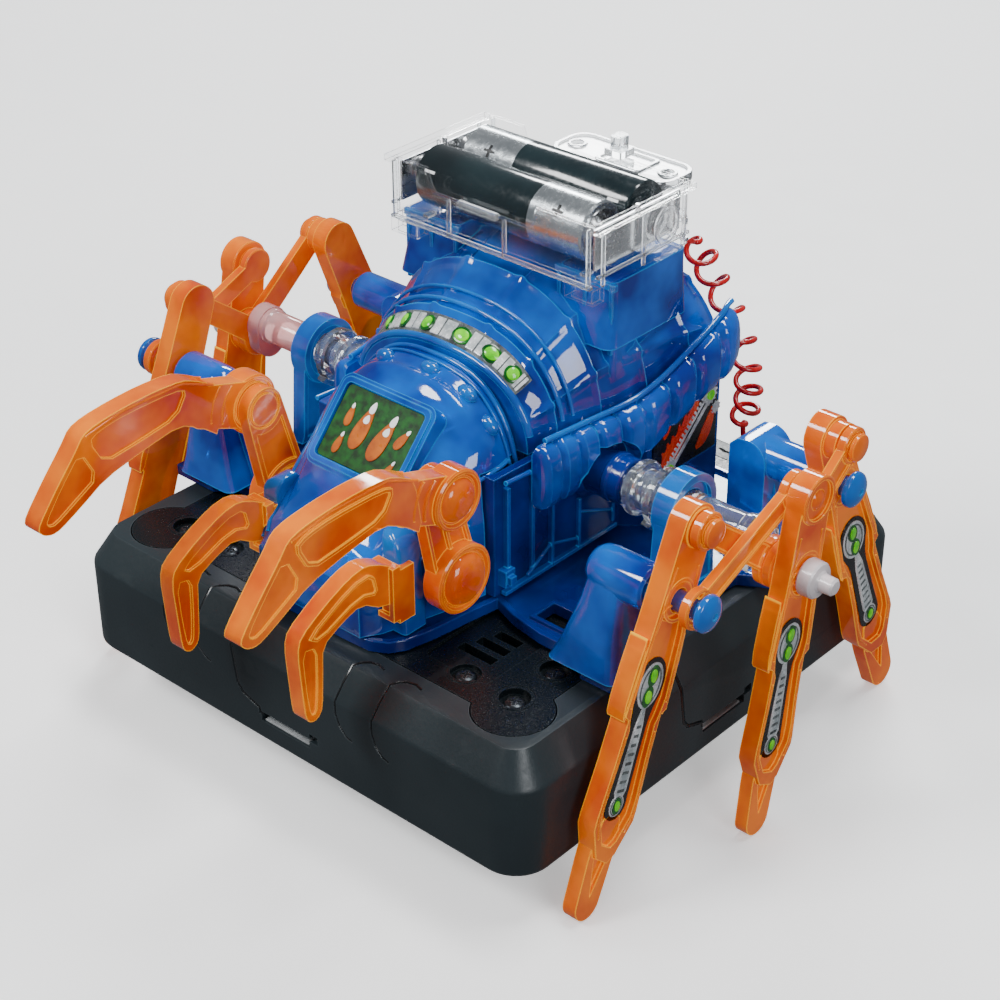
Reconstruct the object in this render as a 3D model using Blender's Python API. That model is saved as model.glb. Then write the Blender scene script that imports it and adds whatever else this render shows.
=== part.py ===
"""Six-legged spider robot kit: a crank-driven walker on a box base.

Blender 4.5. Lengths in this script are millimetres; MM turns them into metres when a mesh is made.
The origin is the centre of the base's underside, the spider faces -Y and its right side is +X.
"""

import math

import bmesh
import bpy
from mathutils import Matrix, Vector

MM = 0.001
GAP = 0.3                                   # clearance between two pieces that touch

# Base box
BASE_HALF = 70.0
BASE_HEIGHT = 30.0
BASE_WALL = 2.4
BASE_CORNER = 9.0
CHAMFER_IN = 4.9
CHAMFER_DOWN = 7.5
COVER_HALF = 58.0
COVER_THICKNESS = 2.9
LATCH_SLOT = (15.6, 2.6)                    # width and height of the slot in each side
LATCH_SLOT_Z = 5.2
HOLE_RADIUS = 3.5
COVER_HOLES = ((51.7, 50.8), (51.6, 37.5))

# Blue chassis
DECK_BOTTOM = BASE_HEIGHT + GAP
DECK_TOP = DECK_BOTTOM + 3.0
DECK_HALF_OUTLINE = ((0, -60), (17, -60), (23, -56), (25, -46), (26, -38), (27, -27), (34, -31), (43, -33),
                     (55, -33), (57, -37), (71, -37), (71, -19), (61, -15), (61, 15), (71, 19), (71, 39),
                     (45, 45), (33, 50), (0, 50))
DECK_WINDOW = (38.0, 48.0, -28.0, -22.0)
SHELL_FLOOR = DECK_TOP + GAP
SHELL_WALL = 2.0
SEAM_Z = 64.0                               # top of the gearbox box, where the dome starts
DOME_POWER = 2.3                            # squareness of the dome's arch; 2 is an ellipse
HEAD_MIDDLE = 44.0                          # height at which the head is widest
HEAD_POWER = 2.7
HEAD_DEPTH = 20.0                           # how far the head's solid reaches below its widest height
GEARBOX_HALF_OUTLINE = ((0, -29.5), (27, -29.5), (28.5, 12), (33.5, 16), (33.5, 43), (28, 48), (0, 48))
LABEL_PANEL = (18.0, 42.0, 44.5, 62.5)      # y and z span of each flame label

# Crank axis and the linkage, in the Y-Z plane
CRANK = (0.0, 56.0)
CRANK_THROW = 4.0
CRANK_PIN = (CRANK[0], CRANK[1] - CRANK_THROW)
CRANK_PIN_RADIUS = 1.5
SHAFT_RADIUS = 3.2
LEG_PIVOT_Y = 30.0
LEG_PIVOT_Z = 56.0
LEG_PIN_RADIUS = 2.4
LEG_TILT = math.radians(22.0)
MID_LEAN = math.radians(9.0)
LEG_TOP = 16.0                              # leg pivot to the boss at its top
MID_TOP = 17.5                              # crank pin to the boss at the middle leg's top
FOOT_PLANE = -13.0
TOE_RADIUS = 4.0
STUD_RADIUS = 1.7
OPEN_HOLE = 3.4                             # a link's big end round the crank pin
CUP_RADIUS = 3.6                            # recess in the middle leg round the rocker link's stud

# Layers outwards along X
POST_OUT = 72.5
LEG_LAYER = (73.2, 78.0)
INNER_LINK = (78.6, 80.9)
OUTER_LINK = (81.2, 83.4)
MID_LAYER = (84.0, 88.5)
PIN_END = 96.5

# Head, arms
FACE_CENTRE = (0.0, -39.0, 69.0)
FACE_SLOPE = math.radians(48.0)
FACE_SIZE = (23.4, 17.3)
SHOULDER = (-42.0, 46.0)                    # y, z of the big arm's lower disc
ELBOW = (-48.0, 70.3)                       # y, z of its upper disc
ARM_X = 24.6                                # inner face of the shoulder link
FOREARM_OUTLINE = ((-60, 81), (-67.7, 84.4), (-84, 84.6), (-95.2, 82.6), (-97.6, 79.5), (-108.4, 67.2),
                   (-107.6, 64.4), (-104.2, 63.4), (-90.5, 70.2), (-69.5, 74.0), (-58, 66.5))
FANG_OUTLINE = ((-52, 49.5), (-63.5, 56.5), (-68.6, 55.8), (-83, 48.4), (-84, 45.0), (-83, 27.5),
                (-80.6, 25.5), (-78.0, 27.5), (-77.0, 43.0), (-65.5, 47.6), (-59, 43.5), (-52, 43.5))
FANG_X = (17.2, 22.2)

# Batteries and tray
CELL_RADIUS = 7.1
CELL_LENGTH = 49.3
NUB_RADIUS = 2.7
CELL_Y = (8.5, 23.5)
CELL_Z = 108.6
TRAY_X = 30.3
TRAY_Y = (-1.0, 33.0)
TRAY_FLOOR = 99.6
TRAY_RIM = 114.4
TRAY_WALL = 1.2
TRAY_FLANGE = 1.2
TRAY_LOW_RIM = 109.0                        # top of the long walls between x -18 and 13
TRAY_FOOT_BOTTOM = 95.8
DIVIDER_TOP = 105.5
SWITCH_PLATE_Z = (108.4, 110.6)
TOWER_X = (15.0, 31.0)
TOWER_Y = (5.5, 31.0)
SWITCH_PLATE = (-13.0, 22.0, 33.6, 47.0)
KNOB_CENTRE = (3.5, 40.5)

# Drive train
MOTOR_AXIS = (28.0, 48.0)
MOTOR_RADIUS = 10.0
IDLER_AXIS = (15.5, 50.0)
PINION_RADIUS = 3.2
IDLER_WHEEL = 9.2
IDLER_PINION = 3.6
CRANK_GEAR = 12.7
CRANK_TEETH = 28
IDLER_TEETH = 23
PINION_TEETH = 8
FINE_LAYER = (10.6, 14.6)
COARSE_LAYER = (16.4, 20.4)

# Coiled wire
COIL_RADIUS = 3.0
WIRE_RADIUS = 0.65
COIL_TURNS = 8
COIL_PATH = ((28.5, 37.5, 97.5), (29.0, 44.5, 86.0), (32.5, 52.0, 69.0), (33.5, 55.0, 54.0),
             (31.0, 57.0, 43.0))

BLUE = (0.01, 0.12, 0.75, 1.0)
ORANGE = (1.0, 0.28, 0.02, 1.0)
CLEAR = (0.82, 0.9, 0.95, 1.0)
SLATE = (0.03, 0.045, 0.05, 1.0)
BLACK = (0.02, 0.03, 0.03, 1.0)
SILVER = (0.7, 0.72, 0.74, 1.0)
WHITE = (0.9, 0.86, 0.86, 1.0)
RED = (0.7, 0.02, 0.03, 1.0)
GREEN = (0.03, 0.25, 0.05, 1.0)


# ---------------------------------------------------------------- mesh helpers

def clear_scene():
    for item in list(bpy.data.objects):
        bpy.data.objects.remove(item, do_unlink=True)


def solid(bm):
    """Turn a closed bmesh, in millimetres, into a scene object in metres."""
    bmesh.ops.recalc_face_normals(bm, faces=bm.faces)
    bmesh.ops.transform(bm, matrix=Matrix.Scale(MM, 4), verts=bm.verts)
    mesh = bpy.data.meshes.new("solid")
    bm.to_mesh(mesh)
    bm.free()
    item = bpy.data.objects.new("solid", mesh)
    bpy.context.scene.collection.objects.link(item)
    return item


def combine(base, tool, operation):
    """Apply an exact Boolean to base and drop the tool."""
    change = base.modifiers.new("combine", "BOOLEAN")
    change.operation = operation
    change.solver = "EXACT"
    change.object = tool
    bpy.context.view_layer.update()
    result = base.evaluated_get(bpy.context.evaluated_depsgraph_get())
    mesh = bpy.data.meshes.new_from_object(result)
    base.modifiers.clear()
    base.data = mesh
    bpy.data.objects.remove(tool, do_unlink=True)
    return base


def join(base, *tools):
    for tool in tools:
        combine(base, tool, "UNION")
    return base


def cut(base, *tools):
    for tool in tools:
        combine(base, tool, "DIFFERENCE")
    return base


def mirrored(item):
    """A copy of item on the other side of the X = 0 plane."""
    mesh = item.data.copy()
    mesh.transform(Matrix.Diagonal((-1.0, 1.0, 1.0, 1.0)))
    mesh.flip_normals()
    twin = bpy.data.objects.new("solid", mesh)
    bpy.context.scene.collection.objects.link(twin)
    return twin


AXIS_FRAMES = {
    "X": Matrix(((0, 0, 1, 0), (1, 0, 0, 0), (0, 1, 0, 0), (0, 0, 0, 1))),
    "Y": Matrix(((0, 1, 0, 0), (0, 0, 1, 0), (1, 0, 0, 0), (0, 0, 0, 1))),
    "Z": Matrix.Identity(4),
}


def flat_points(axis, point):
    """Plane coordinates for an extrusion axis: (y, z) for X, (x, z) for Y, (x, y) for Z."""
    if axis == "Y":
        return point[1], point[0]
    return point[0], point[1]


def prism(outline, low, high, axis="X"):
    """A closed extrusion of an outline from low to high along an axis."""
    bm = bmesh.new()
    ring = [bm.verts.new((*flat_points(axis, point), low)) for point in outline]
    face = bm.faces.new(ring)
    made = bmesh.ops.extrude_face_region(bm, geom=[face])
    moved = [item for item in made["geom"] if isinstance(item, bmesh.types.BMVert)]
    bmesh.ops.translate(bm, vec=(0, 0, high - low), verts=moved)
    bmesh.ops.transform(bm, matrix=AXIS_FRAMES[axis], verts=bm.verts)
    return solid(bm)


def arc(centre, radius, start, end, steps):
    """Points on an arc, angles in degrees."""
    points = []
    for index in range(steps + 1):
        angle = math.radians(start + (end - start) * index / steps)
        points.append((centre[0] + radius * math.cos(angle), centre[1] + radius * math.sin(angle)))
    return points


def disc(centre, radius, low, high, axis="X", segments=24):
    return prism(arc(centre, radius, 0, 360 - 360 / segments, segments - 1), low, high, axis)


def cone(centre, radius_low, radius_high, low, high, axis="X", segments=24):
    bm = bmesh.new()
    bmesh.ops.create_cone(bm, cap_ends=True, segments=segments, radius1=radius_low, radius2=radius_high,
                          depth=high - low)
    place = AXIS_FRAMES[axis] @ Matrix.Translation((*flat_points(axis, centre), (low + high) / 2))
    bmesh.ops.transform(bm, matrix=place, verts=bm.verts)
    return solid(bm)


def box(x, y, z):
    return prism(((x[0], y[0]), (x[1], y[0]), (x[1], y[1]), (x[0], y[1])), z[0], z[1], "Z")


def ball(centre, radius, squash=(1, 1, 1)):
    bm = bmesh.new()
    bmesh.ops.create_uvsphere(bm, u_segments=16, v_segments=9, radius=radius)
    place = Matrix.Translation(centre) @ Matrix.Diagonal((*squash, 1))
    bmesh.ops.transform(bm, matrix=place, verts=bm.verts)
    return solid(bm)


def rounded_rectangle(half_x, half_y, radius, steps=5, centre=(0, 0)):
    points = []
    for quarter, (sx, sy) in enumerate(((1, 1), (-1, 1), (-1, -1), (1, -1))):
        corner = (centre[0] + sx * (half_x - radius), centre[1] + sy * (half_y - radius))
        points += arc(corner, radius, 90 * quarter, 90 * quarter + 90, steps)
    return points


def loft(rings):
    """Skin a list of equal rings of 3-D points and cap both ends."""
    bm = bmesh.new()
    rows = [[bm.verts.new(point) for point in ring] for ring in rings]
    count = len(rows[0])
    for lower, upper in zip(rows, rows[1:]):
        for index in range(count):
            after = (index + 1) % count
            bm.faces.new((lower[index], lower[after], upper[after], upper[index]))
    bm.faces.new(reversed(rows[0]))
    bm.faces.new(rows[-1])
    return solid(bm)


def both_sides(outline):
    """Close a half outline, given from front to back at x >= 0, about the Y axis."""
    return list(outline) + [(-x, y) for x, y in reversed(outline) if x > 0]


def hull_of_discs(discs, steps=8):
    """Outline round a chain of two discs, each (centre, radius), joined by their outer tangents."""
    (first, first_radius), (second, second_radius) = discs
    dx = second[0] - first[0]
    dy = second[1] - first[1]
    length = math.hypot(dx, dy)
    heading = math.degrees(math.atan2(dy, dx))
    lean = math.degrees(math.acos((first_radius - second_radius) / length))
    outline = arc(second, second_radius, heading - lean, heading + lean, steps)
    outline += arc(first, first_radius, heading + lean, heading + 360 - lean, steps)
    return outline


# ---------------------------------------------------------------- naming, colour, origin

MATERIALS = {}


def material(name, colour, roughness, metallic=0.0):
    if name not in MATERIALS:
        made = bpy.data.materials.new(name)
        made.use_nodes = True
        shader = made.node_tree.nodes["Principled BSDF"]
        shader.inputs["Base Color"].default_value = colour
        shader.inputs["Roughness"].default_value = roughness
        shader.inputs["Metallic"].default_value = metallic
        MATERIALS[name] = made
    return MATERIALS[name]


def name_part(item, name, colour, roughness=0.2, metallic=0.0, origin=(0, 0, 0)):
    """Name a finished solid, colour it, and put its origin on a point given in millimetres."""
    item.name = name
    item.data.name = name
    item.data.materials.clear()
    item.data.materials.append(material("mat_" + name, colour, roughness, metallic))
    pivot = Vector(origin) * MM
    item.data.transform(Matrix.Translation(-pivot))
    item.location = pivot
    item.data.shade_smooth()
    item.data.set_sharp_from_angle(angle=math.radians(32))
    return item


def pair(item, name, colour, roughness=0.2, metallic=0.0, origin=(0, 0, 0)):
    """Name a right-hand solid and make its left-hand twin."""
    twin = mirrored(item)
    name_part(item, name + "_right", colour, roughness, metallic, origin)
    name_part(twin, name + "_left", colour, roughness, metallic, (-origin[0], origin[1], origin[2]))


# ---------------------------------------------------------------- base

def base_ring(half, radius, z):
    return [(x, y, z) for x, y in rounded_rectangle(half, half, radius, 6)]


def make_base_shell():
    shoulder = BASE_HEIGHT - CHAMFER_DOWN
    top_half = BASE_HALF - CHAMFER_IN
    shell = loft((base_ring(BASE_HALF - 0.8, BASE_CORNER - 0.8, 0), base_ring(BASE_HALF, BASE_CORNER, 0.8),
                  base_ring(BASE_HALF, BASE_CORNER, shoulder), base_ring(top_half, 5.0, BASE_HEIGHT)))
    inside = BASE_HALF - BASE_WALL
    ledge = BASE_HEIGHT - COVER_THICKNESS - GAP
    mouth = COVER_HALF - 2.5
    cavity = loft((base_ring(inside, BASE_CORNER - 2, BASE_WALL),
                   base_ring(inside, BASE_CORNER - 2, shoulder - 2),
                   base_ring(mouth, 5.0, ledge - 1.5), base_ring(mouth, 5.0, ledge + 1)))
    seat = prism(rounded_rectangle(COVER_HALF + GAP, COVER_HALF + GAP, 4.3), ledge, BASE_HEIGHT + 1, "Z")
    cut(shell, cavity, seat)
    half_slot = LATCH_SLOT[0] / 2
    slot_z = (LATCH_SLOT_Z, LATCH_SLOT_Z + LATCH_SLOT[1])
    through = BASE_WALL + 2
    for side in (-1, 1):
        reach = sorted((side * (BASE_HALF - through), side * (BASE_HALF + 1)))
        cut(shell, box((-half_slot, half_slot), reach, slot_z), box(reach, (-half_slot, half_slot), slot_z))
    name_part(shell, "base_shell", SLATE, 0.4)


def make_base_cover():
    bottom = BASE_HEIGHT - COVER_THICKNESS
    cover = prism(rounded_rectangle(COVER_HALF, COVER_HALF, 4.0), bottom, BASE_HEIGHT, "Z")
    for x, y in COVER_HOLES:
        for sx in (-1, 1):
            for sy in (-1, 1):
                cut(cover, disc((sx * x, sy * y), HOLE_RADIUS, bottom - 1, BASE_HEIGHT + 1, "Z", 16))
    for side in (-1, 1):
        cut(cover, disc((side * 37.5, -50.6), HOLE_RADIUS, bottom - 1, BASE_HEIGHT + 1, "Z", 16))
        for row in range(3):
            y = -43.5 + 4.2 * row
            x = sorted((side * (29.5 + 1.6 * row), side * 39.5))
            cut(cover, box(x, (y - 1.3, y + 1.3), (bottom - 1, BASE_HEIGHT + 1)))
    name_part(cover, "base_cover", SLATE, 0.4)


# ---------------------------------------------------------------- chassis

def make_chassis_deck():
    deck = prism(both_sides(DECK_HALF_OUTLINE), DECK_BOTTOM, DECK_TOP, "Z")
    x0, x1, y0, y1 = DECK_WINDOW
    for side in (-1, 1):
        cut(deck, box(sorted((side * x0, side * x1)), (y0, y1), (DECK_BOTTOM - 1, DECK_TOP + 1)))
    name_part(deck, "chassis_deck", BLUE)


def front_post():
    pivot = (-LEG_PIVOT_Y, LEG_PIVOT_Z)
    outline = arc(pivot, 5.2, 190, -10, 12) + [(-20.5, SHELL_FLOOR), (-36.5, SHELL_FLOOR)]
    post = prism(outline, 56.5, POST_OUT)
    mouth = [(-24.5, SHELL_FLOOR - 1), (-33.5, SHELL_FLOOR - 1)]
    hollow = prism(arc(pivot, 3.4, 180, 0, 8) + mouth, 58.5, 62.5)
    cut(post, hollow)
    return join(post, disc(pivot, LEG_PIN_RADIUS, POST_OUT - 1, OUTER_LINK[1] + 0.3))


def rear_post():
    pivot = (LEG_PIVOT_Y, LEG_PIVOT_Z)
    upright = [(50.0, SHELL_FLOOR), (60.0, SHELL_FLOOR), (60.0, LEG_PIVOT_Z)]
    upright += arc((55.0, LEG_PIVOT_Z), 5.0, 0, 90, 6)
    upright += [(53.0, LEG_PIVOT_Z + 5.0), (50.0, LEG_PIVOT_Z + 3.0)]
    post = prism(upright, LEG_PIVOT_Y - 5.6, LEG_PIVOT_Y + 5.6, "Y")
    arm = disc(pivot, 4.8, 56.0, POST_OUT)
    return join(post, arm, disc(pivot, LEG_PIN_RADIUS, POST_OUT - 1, LEG_LAYER[1] + 0.9))


def crank_post():
    outline = arc(CRANK, 8.0, 180, 0, 16) + [(9.5, SHELL_FLOOR), (-9.5, SHELL_FLOOR)]
    post = prism(outline, 54.2, 58.2)
    rim = cut(disc(CRANK, 8.4, 53.6, 58.8), disc(CRANK, 6.4, 53, 59.5))
    join(post, rim)
    return cut(post, disc(CRANK, SHAFT_RADIUS + 1.4, 53, 60))


def crank_bush():
    """Clear bearing bush between the body boss and the crank post."""
    bush = join(disc(CRANK, 5.0, 42.5, 53.2), disc(CRANK, 6.6, 44.0, 45.6), disc(CRANK, 6.6, 49.4, 52.0),
                disc(CRANK, SHAFT_RADIUS + 1.1, 52, 58.2))
    return cut(bush, disc(CRANK, SHAFT_RADIUS + 0.25, 41, 60))


def make_posts():
    front = (POST_OUT, -LEG_PIVOT_Y, LEG_PIVOT_Z)
    rear = (POST_OUT, LEG_PIVOT_Y, LEG_PIVOT_Z)
    pair(front_post(), "front_post", BLUE, origin=front)
    pair(rear_post(), "rear_post", BLUE, origin=rear)
    pair(crank_post(), "crank_post", BLUE)
    pair(crank_bush(), "crank_bush", CLEAR, 0.08)
    front_cap = disc((-LEG_PIVOT_Y, LEG_PIVOT_Z), 4.3, 84.0, 86.0)
    join(front_cap, cone((-LEG_PIVOT_Y, LEG_PIVOT_Z), 4.3, 2.4, 86.0, 87.4))
    pair(front_cap, "front_pivot_cap", BLUE)
    rear_cap = disc((LEG_PIVOT_Y, LEG_PIVOT_Z), 4.3, 79.2, 81.0)
    join(rear_cap, cone((LEG_PIVOT_Y, LEG_PIVOT_Z), 4.3, 2.4, 81.0, 82.4))
    pair(rear_cap, "rear_pivot_cap", BLUE)


# ---------------------------------------------------------------- body shells

def shell_ring(y, half_width, top, centre_z, power, floor_depth, inset=0.0):
    """A ring across the body: a rounded arch above centre_z and near-upright sides below it."""
    points = []
    steps = 28
    for index in range(steps):
        angle = 2 * math.pi * index / steps
        cosine = math.cos(angle)
        sine = math.sin(angle)
        bend = power if sine >= 0 else 8.0
        height = (top - centre_z if sine >= 0 else floor_depth) - inset
        x = math.copysign(abs(cosine) ** (2 / bend), cosine) * (half_width - inset)
        z = math.copysign(abs(sine) ** (2 / bend), sine) * height
        points.append((x, y, centre_z + z))
    return points


ABDOMEN_SECTIONS = ((-16.8, 25.5, 82.0), (-10.0, 27.5, 87.0), (0.0, 30.5, 94.0), (12.0, 34.0, 97.8),
                    (25.0, 36.5, 98.3), (36.0, 36.8, 95.0), (44.0, 33.0, 88.0), (50.0, 26.5, 77.5))
HEAD_SECTIONS = ((-17.2, 24.5, 81.0), (-24.0, 25.6, 79.6), (-31.5, 24.4, 75.6), (-40.0, 22.6, 68.5),
                 (-48.0, 20.4, 60.5), (-56.0, 18.0, 51.5), (-60.5, 15.5, 46.0))


def body_loft(sections, centre_z, power, depth, inset=0.0):
    """Skin body sections; an inset shrinks the solid on every side, its two ends included."""
    rings = []
    inwards = math.copysign(inset, sections[-1][0] - sections[0][0])
    if inset < 0:
        inwards = -inwards
    end_shift = {0: inwards, len(sections) - 1: -inwards}
    for index, (y, half_width, top) in enumerate(sections):
        shift = end_shift.get(index, 0.0)
        rings.append(shell_ring(y + shift, half_width, top, centre_z, power, depth, inset))
    return loft(rings)


def make_abdomen():
    """The dome and, in the same moulding, the two hollow towers that carry the battery tray."""
    dome = body_loft(ABDOMEN_SECTIONS, SEAM_Z, DOME_POWER, 12.0)
    cut(dome, body_loft(ABDOMEN_SECTIONS, SEAM_Z, DOME_POWER, 14.0, SHELL_WALL))
    for side in (-1, 1):
        outer_x = sorted((side * TOWER_X[0], side * TOWER_X[1]))
        inner_x = (outer_x[0] + SHELL_WALL, outer_x[1] - SHELL_WALL)
        inner_y = (TOWER_Y[0] + SHELL_WALL, TOWER_Y[1] - SHELL_WALL)
        join(dome, box(outer_x, TOWER_Y, (SEAM_Z + 4, TRAY_FLOOR - GAP)))
        cut(dome, box(inner_x, inner_y, (SEAM_Z - 5, TRAY_FLOOR - GAP - SHELL_WALL)))
    cut(dome, box((-60, 60), (-40, 70), (SEAM_Z - 30, SEAM_Z + GAP)))
    name_part(dome, "abdomen_shell", BLUE)


def make_gearbox():
    walls = prism(both_sides(GEARBOX_HALF_OUTLINE), SHELL_FLOOR, SEAM_Z, "Z")
    inner = [(max(0.0, x - SHELL_WALL), y + math.copysign(SHELL_WALL * (abs(y) > 25), -y))
             for x, y in GEARBOX_HALF_OUTLINE]
    cut(walls, prism(both_sides(inner), SHELL_FLOOR - 1, SEAM_Z + 1, "Z"))
    bore = disc(CRANK, SHAFT_RADIUS + 0.4, 20, 50)
    for side in (1, -1):
        boss = join(disc(CRANK, 7.4, 26.5, 31.5), disc(CRANK, 5.6, 31, 42.0))
        if side < 0:
            flipped = mirrored(boss)
            bpy.data.objects.remove(boss, do_unlink=True)
            boss = flipped
        join(walls, boss)
    mirror_bore = mirrored(bore)
    cut(walls, bore, mirror_bore)
    y0, y1, z0, z1 = LABEL_PANEL
    for side in (-1, 1):
        x = sorted((side * 33.1, side * 34.5))
        cut(walls, box(x, (y0 - GAP, y1 + GAP), (z0 - GAP, z1 + GAP)))
    name_part(walls, "gearbox_housing", BLUE)
    label = box((33.2, 33.8), (y0, y1), (z0, z1))
    pair(label, "flame_label", BLACK, 0.3)


def face_frame():
    """Matrix in millimetres from the face plane's own axes (x, up the slope, outwards) to the world."""
    tilt = Matrix(((1, 0, 0, 0), (0, math.cos(FACE_SLOPE), -math.sin(FACE_SLOPE), 0),
                   (0, math.sin(FACE_SLOPE), math.cos(FACE_SLOPE), 0), (0, 0, 0, 1)))
    return Matrix.Translation(FACE_CENTRE) @ tilt


def face_plate(half_x, half_y, radius, low, high):
    bm = bmesh.new()
    ring = [bm.verts.new((x, y, low)) for x, y in rounded_rectangle(half_x, half_y, radius, 4)]
    face = bm.faces.new(ring)
    made = bmesh.ops.extrude_face_region(bm, geom=[face])
    moved = [item for item in made["geom"] if isinstance(item, bmesh.types.BMVert)]
    bmesh.ops.translate(bm, vec=(0, 0, high - low), verts=moved)
    bmesh.ops.transform(bm, matrix=face_frame(), verts=bm.verts)
    return solid(bm)


def shoulder_boss(side):
    """Boss and pin on the side of the head that carry a big arm."""
    boss = join(disc(SHOULDER, 4.2, 17.0, ARM_X - GAP), disc(SHOULDER, 1.9, ARM_X - 2, ARM_X + 5, "X", 16))
    if side > 0:
        return boss
    flipped = mirrored(boss)
    bpy.data.objects.remove(boss, do_unlink=True)
    return flipped


def make_head():
    head = body_loft(HEAD_SECTIONS, HEAD_MIDDLE, HEAD_POWER, HEAD_DEPTH)
    for side in (-1, 1):
        join(head, ball((side * 21.5, -31.4, 60.3), 8.5, (0.32, 1, 0.9)))
    cut(head, body_loft(HEAD_SECTIONS, HEAD_MIDDLE, HEAD_POWER, HEAD_DEPTH + 4, SHELL_WALL + 0.6))
    join(head, shoulder_boss(1), shoulder_boss(-1))
    half_x = FACE_SIZE[0] / 2
    half_y = FACE_SIZE[1] / 2
    join(head, face_plate(half_x + 2.4, half_y + 2.4, 2.5, -3.4, 1.0))
    cut(head, face_plate(half_x + 0.2, half_y + 0.2, 1.2, 0.2, 6.0))
    cut(head, box((-60, 60), (-30.0, 20), (0, SEAM_Z + GAP)))
    cut(head, box((-60, 60), (-80, 30), (0, SHELL_FLOOR)))
    name_part(head, "head_shell", BLUE)
    label = face_plate(half_x, half_y, 1.0, 0.4, 0.9)
    name_part(label, "face_label", GREEN, 0.4)


def make_neck_label():
    """Silver strip lying on the front of the dome, just behind the neck."""
    rings = []
    first = ABDOMEN_SECTIONS[0]
    second = ABDOMEN_SECTIONS[1]
    for index in range(21):
        angle = math.radians(42 + 96 * index / 20)
        ring = []
        for along, lift in ((0.08, 0.25), (0.08, 0.75), (0.75, 0.75), (0.75, 0.25)):
            y = first[0] + (second[0] - first[0]) * along
            half_width = first[1] + (second[1] - first[1]) * along + lift + 0.35
            rise = first[2] + (second[2] - first[2]) * along + lift + 0.35 - SEAM_Z
            x = math.copysign(abs(math.cos(angle)) ** (2 / DOME_POWER), math.cos(angle)) * half_width
            z = abs(math.sin(angle)) ** (2 / DOME_POWER) * rise
            ring.append((x, y, SEAM_Z + z))
        rings.append(ring)
    name_part(loft(rings), "neck_label", SILVER, 0.35)


FLANK_SECTIONS = ((-19, 28.8, 53, 68), (-5, 30.8, 54.5, 68.5), (8, 34.0, 56, 70), (16, 35.9, 61, 73),
                  (26, 37.3, 65.5, 78), (36, 37.4, 68, 82), (41.5, 35.6, 69.5, 82.5))


def make_flank_bands():
    rings = []
    for y, x, low, high in FLANK_SECTIONS:
        rings.append([(x, y, low + 1), (x + 2.6, y, low), (x + 4.6, y, low + 3), (x + 4.2, y, high - 4),
                      (x + 1.6, y, high), (x, y, high - 1)])
    band = loft(rings)
    cut(band, disc(CRANK, 8.0, 25, 50))
    pair(band, "flank_band", BLUE)


# ---------------------------------------------------------------- legs and links

def leg_outline(toe_drop, top_rise):
    """Leg outline as (across, down) points from its pivot; scaled to its length from top boss to toe."""
    scale = (toe_drop + top_rise) / 86.1
    right = arc((0, -top_rise), 5.2, -90, 0, 6)
    for across, along in ((5.6, 14), (6.6, 30), (7.4, 41), (5.9, 43), (6.2, 53), (7.2, 66), (4.6, 73.5)):
        right.append((across, along * scale - top_rise))
    right += arc((0, toe_drop), TOE_RADIUS, 0, 90, 5)
    return right + [(-across, down) for across, down in reversed(right[1:-1])]


def recess_outline(toe_drop, top_rise):
    scale = (toe_drop + top_rise) / 86.1
    right = []
    for across, along in ((4.3, 20), (5.3, 30), (6.0, 40), (4.6, 43.5), (4.9, 53), (5.8, 65.5), (3.6, 71.5)):
        right.append((across, along * scale - top_rise))
    return right + [(-across, down) for across, down in reversed(right)]


def leg_frame(pivot, tilt):
    """Map (across, down) leg coordinates to (y, z); a positive tilt carries the toe towards the front."""
    def place(point):
        across, down = point
        y = pivot[0] - down * math.sin(tilt) + across * math.cos(tilt)
        z = pivot[1] - down * math.cos(tilt) - across * math.sin(tilt)
        return y, z
    return place


def toe_drop_for(pivot_z, tilt):
    return (pivot_z - FOOT_PLANE - TOE_RADIUS) / math.cos(tilt)


def leg_plate(pivot, tilt, top_rise, layer):
    place = leg_frame(pivot, tilt)
    drop = toe_drop_for(pivot[1], tilt)
    plate = prism([place(point) for point in leg_outline(drop, top_rise)], layer[0], layer[1])
    recess = [place(point) for point in recess_outline(drop, top_rise)]
    cut(plate, prism(recess, layer[1] - 1.2, layer[1] + 1))
    return plate, place


def top_of(pivot, tilt, rise):
    return leg_frame(pivot, tilt)((0.0, -rise))


def make_outer_legs():
    for name, pivot_y, tilt in (("front_leg", -LEG_PIVOT_Y, LEG_TILT), ("rear_leg", LEG_PIVOT_Y, -LEG_TILT)):
        pivot = (pivot_y, LEG_PIVOT_Z)
        plate, place = leg_plate(pivot, tilt, LEG_TOP, LEG_LAYER)
        top = place((0.0, -LEG_TOP))
        link = INNER_LINK if pivot_y < 0 else OUTER_LINK
        join(plate, disc(top, 4.4, LEG_LAYER[1] - 0.5, link[0] - 0.3))
        join(plate, disc(top, STUD_RADIUS, LEG_LAYER[1], link[1] + 1.0, "X", 16))
        join(plate, disc(top, 3.3, link[1] + 0.4, link[1] + 1.8))
        cut(plate, disc(pivot, LEG_PIN_RADIUS + 0.4, 70, 90))
        pair(plate, name, ORANGE, origin=(LEG_LAYER[0], pivot[0], pivot[1]))


def make_mid_legs():
    plate, place = leg_plate(CRANK_PIN, MID_LEAN, MID_TOP, MID_LAYER)
    top = place((0.0, -MID_TOP))
    join(plate, disc(CRANK_PIN, 5.6, MID_LAYER[0], MID_LAYER[1]))
    join(plate, disc(top, 5.6, MID_LAYER[0], MID_LAYER[1] + 0.8))
    cut(plate, disc(top, CUP_RADIUS, MID_LAYER[0] - 1, MID_LAYER[0] + 2.8))
    cut(plate, disc(CRANK_PIN, CRANK_PIN_RADIUS + 0.4, 80, 92, "X", 16))
    pair(plate, "mid_leg", ORANGE, origin=(MID_LAYER[0], CRANK_PIN[0], CRANK_PIN[1]))


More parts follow.
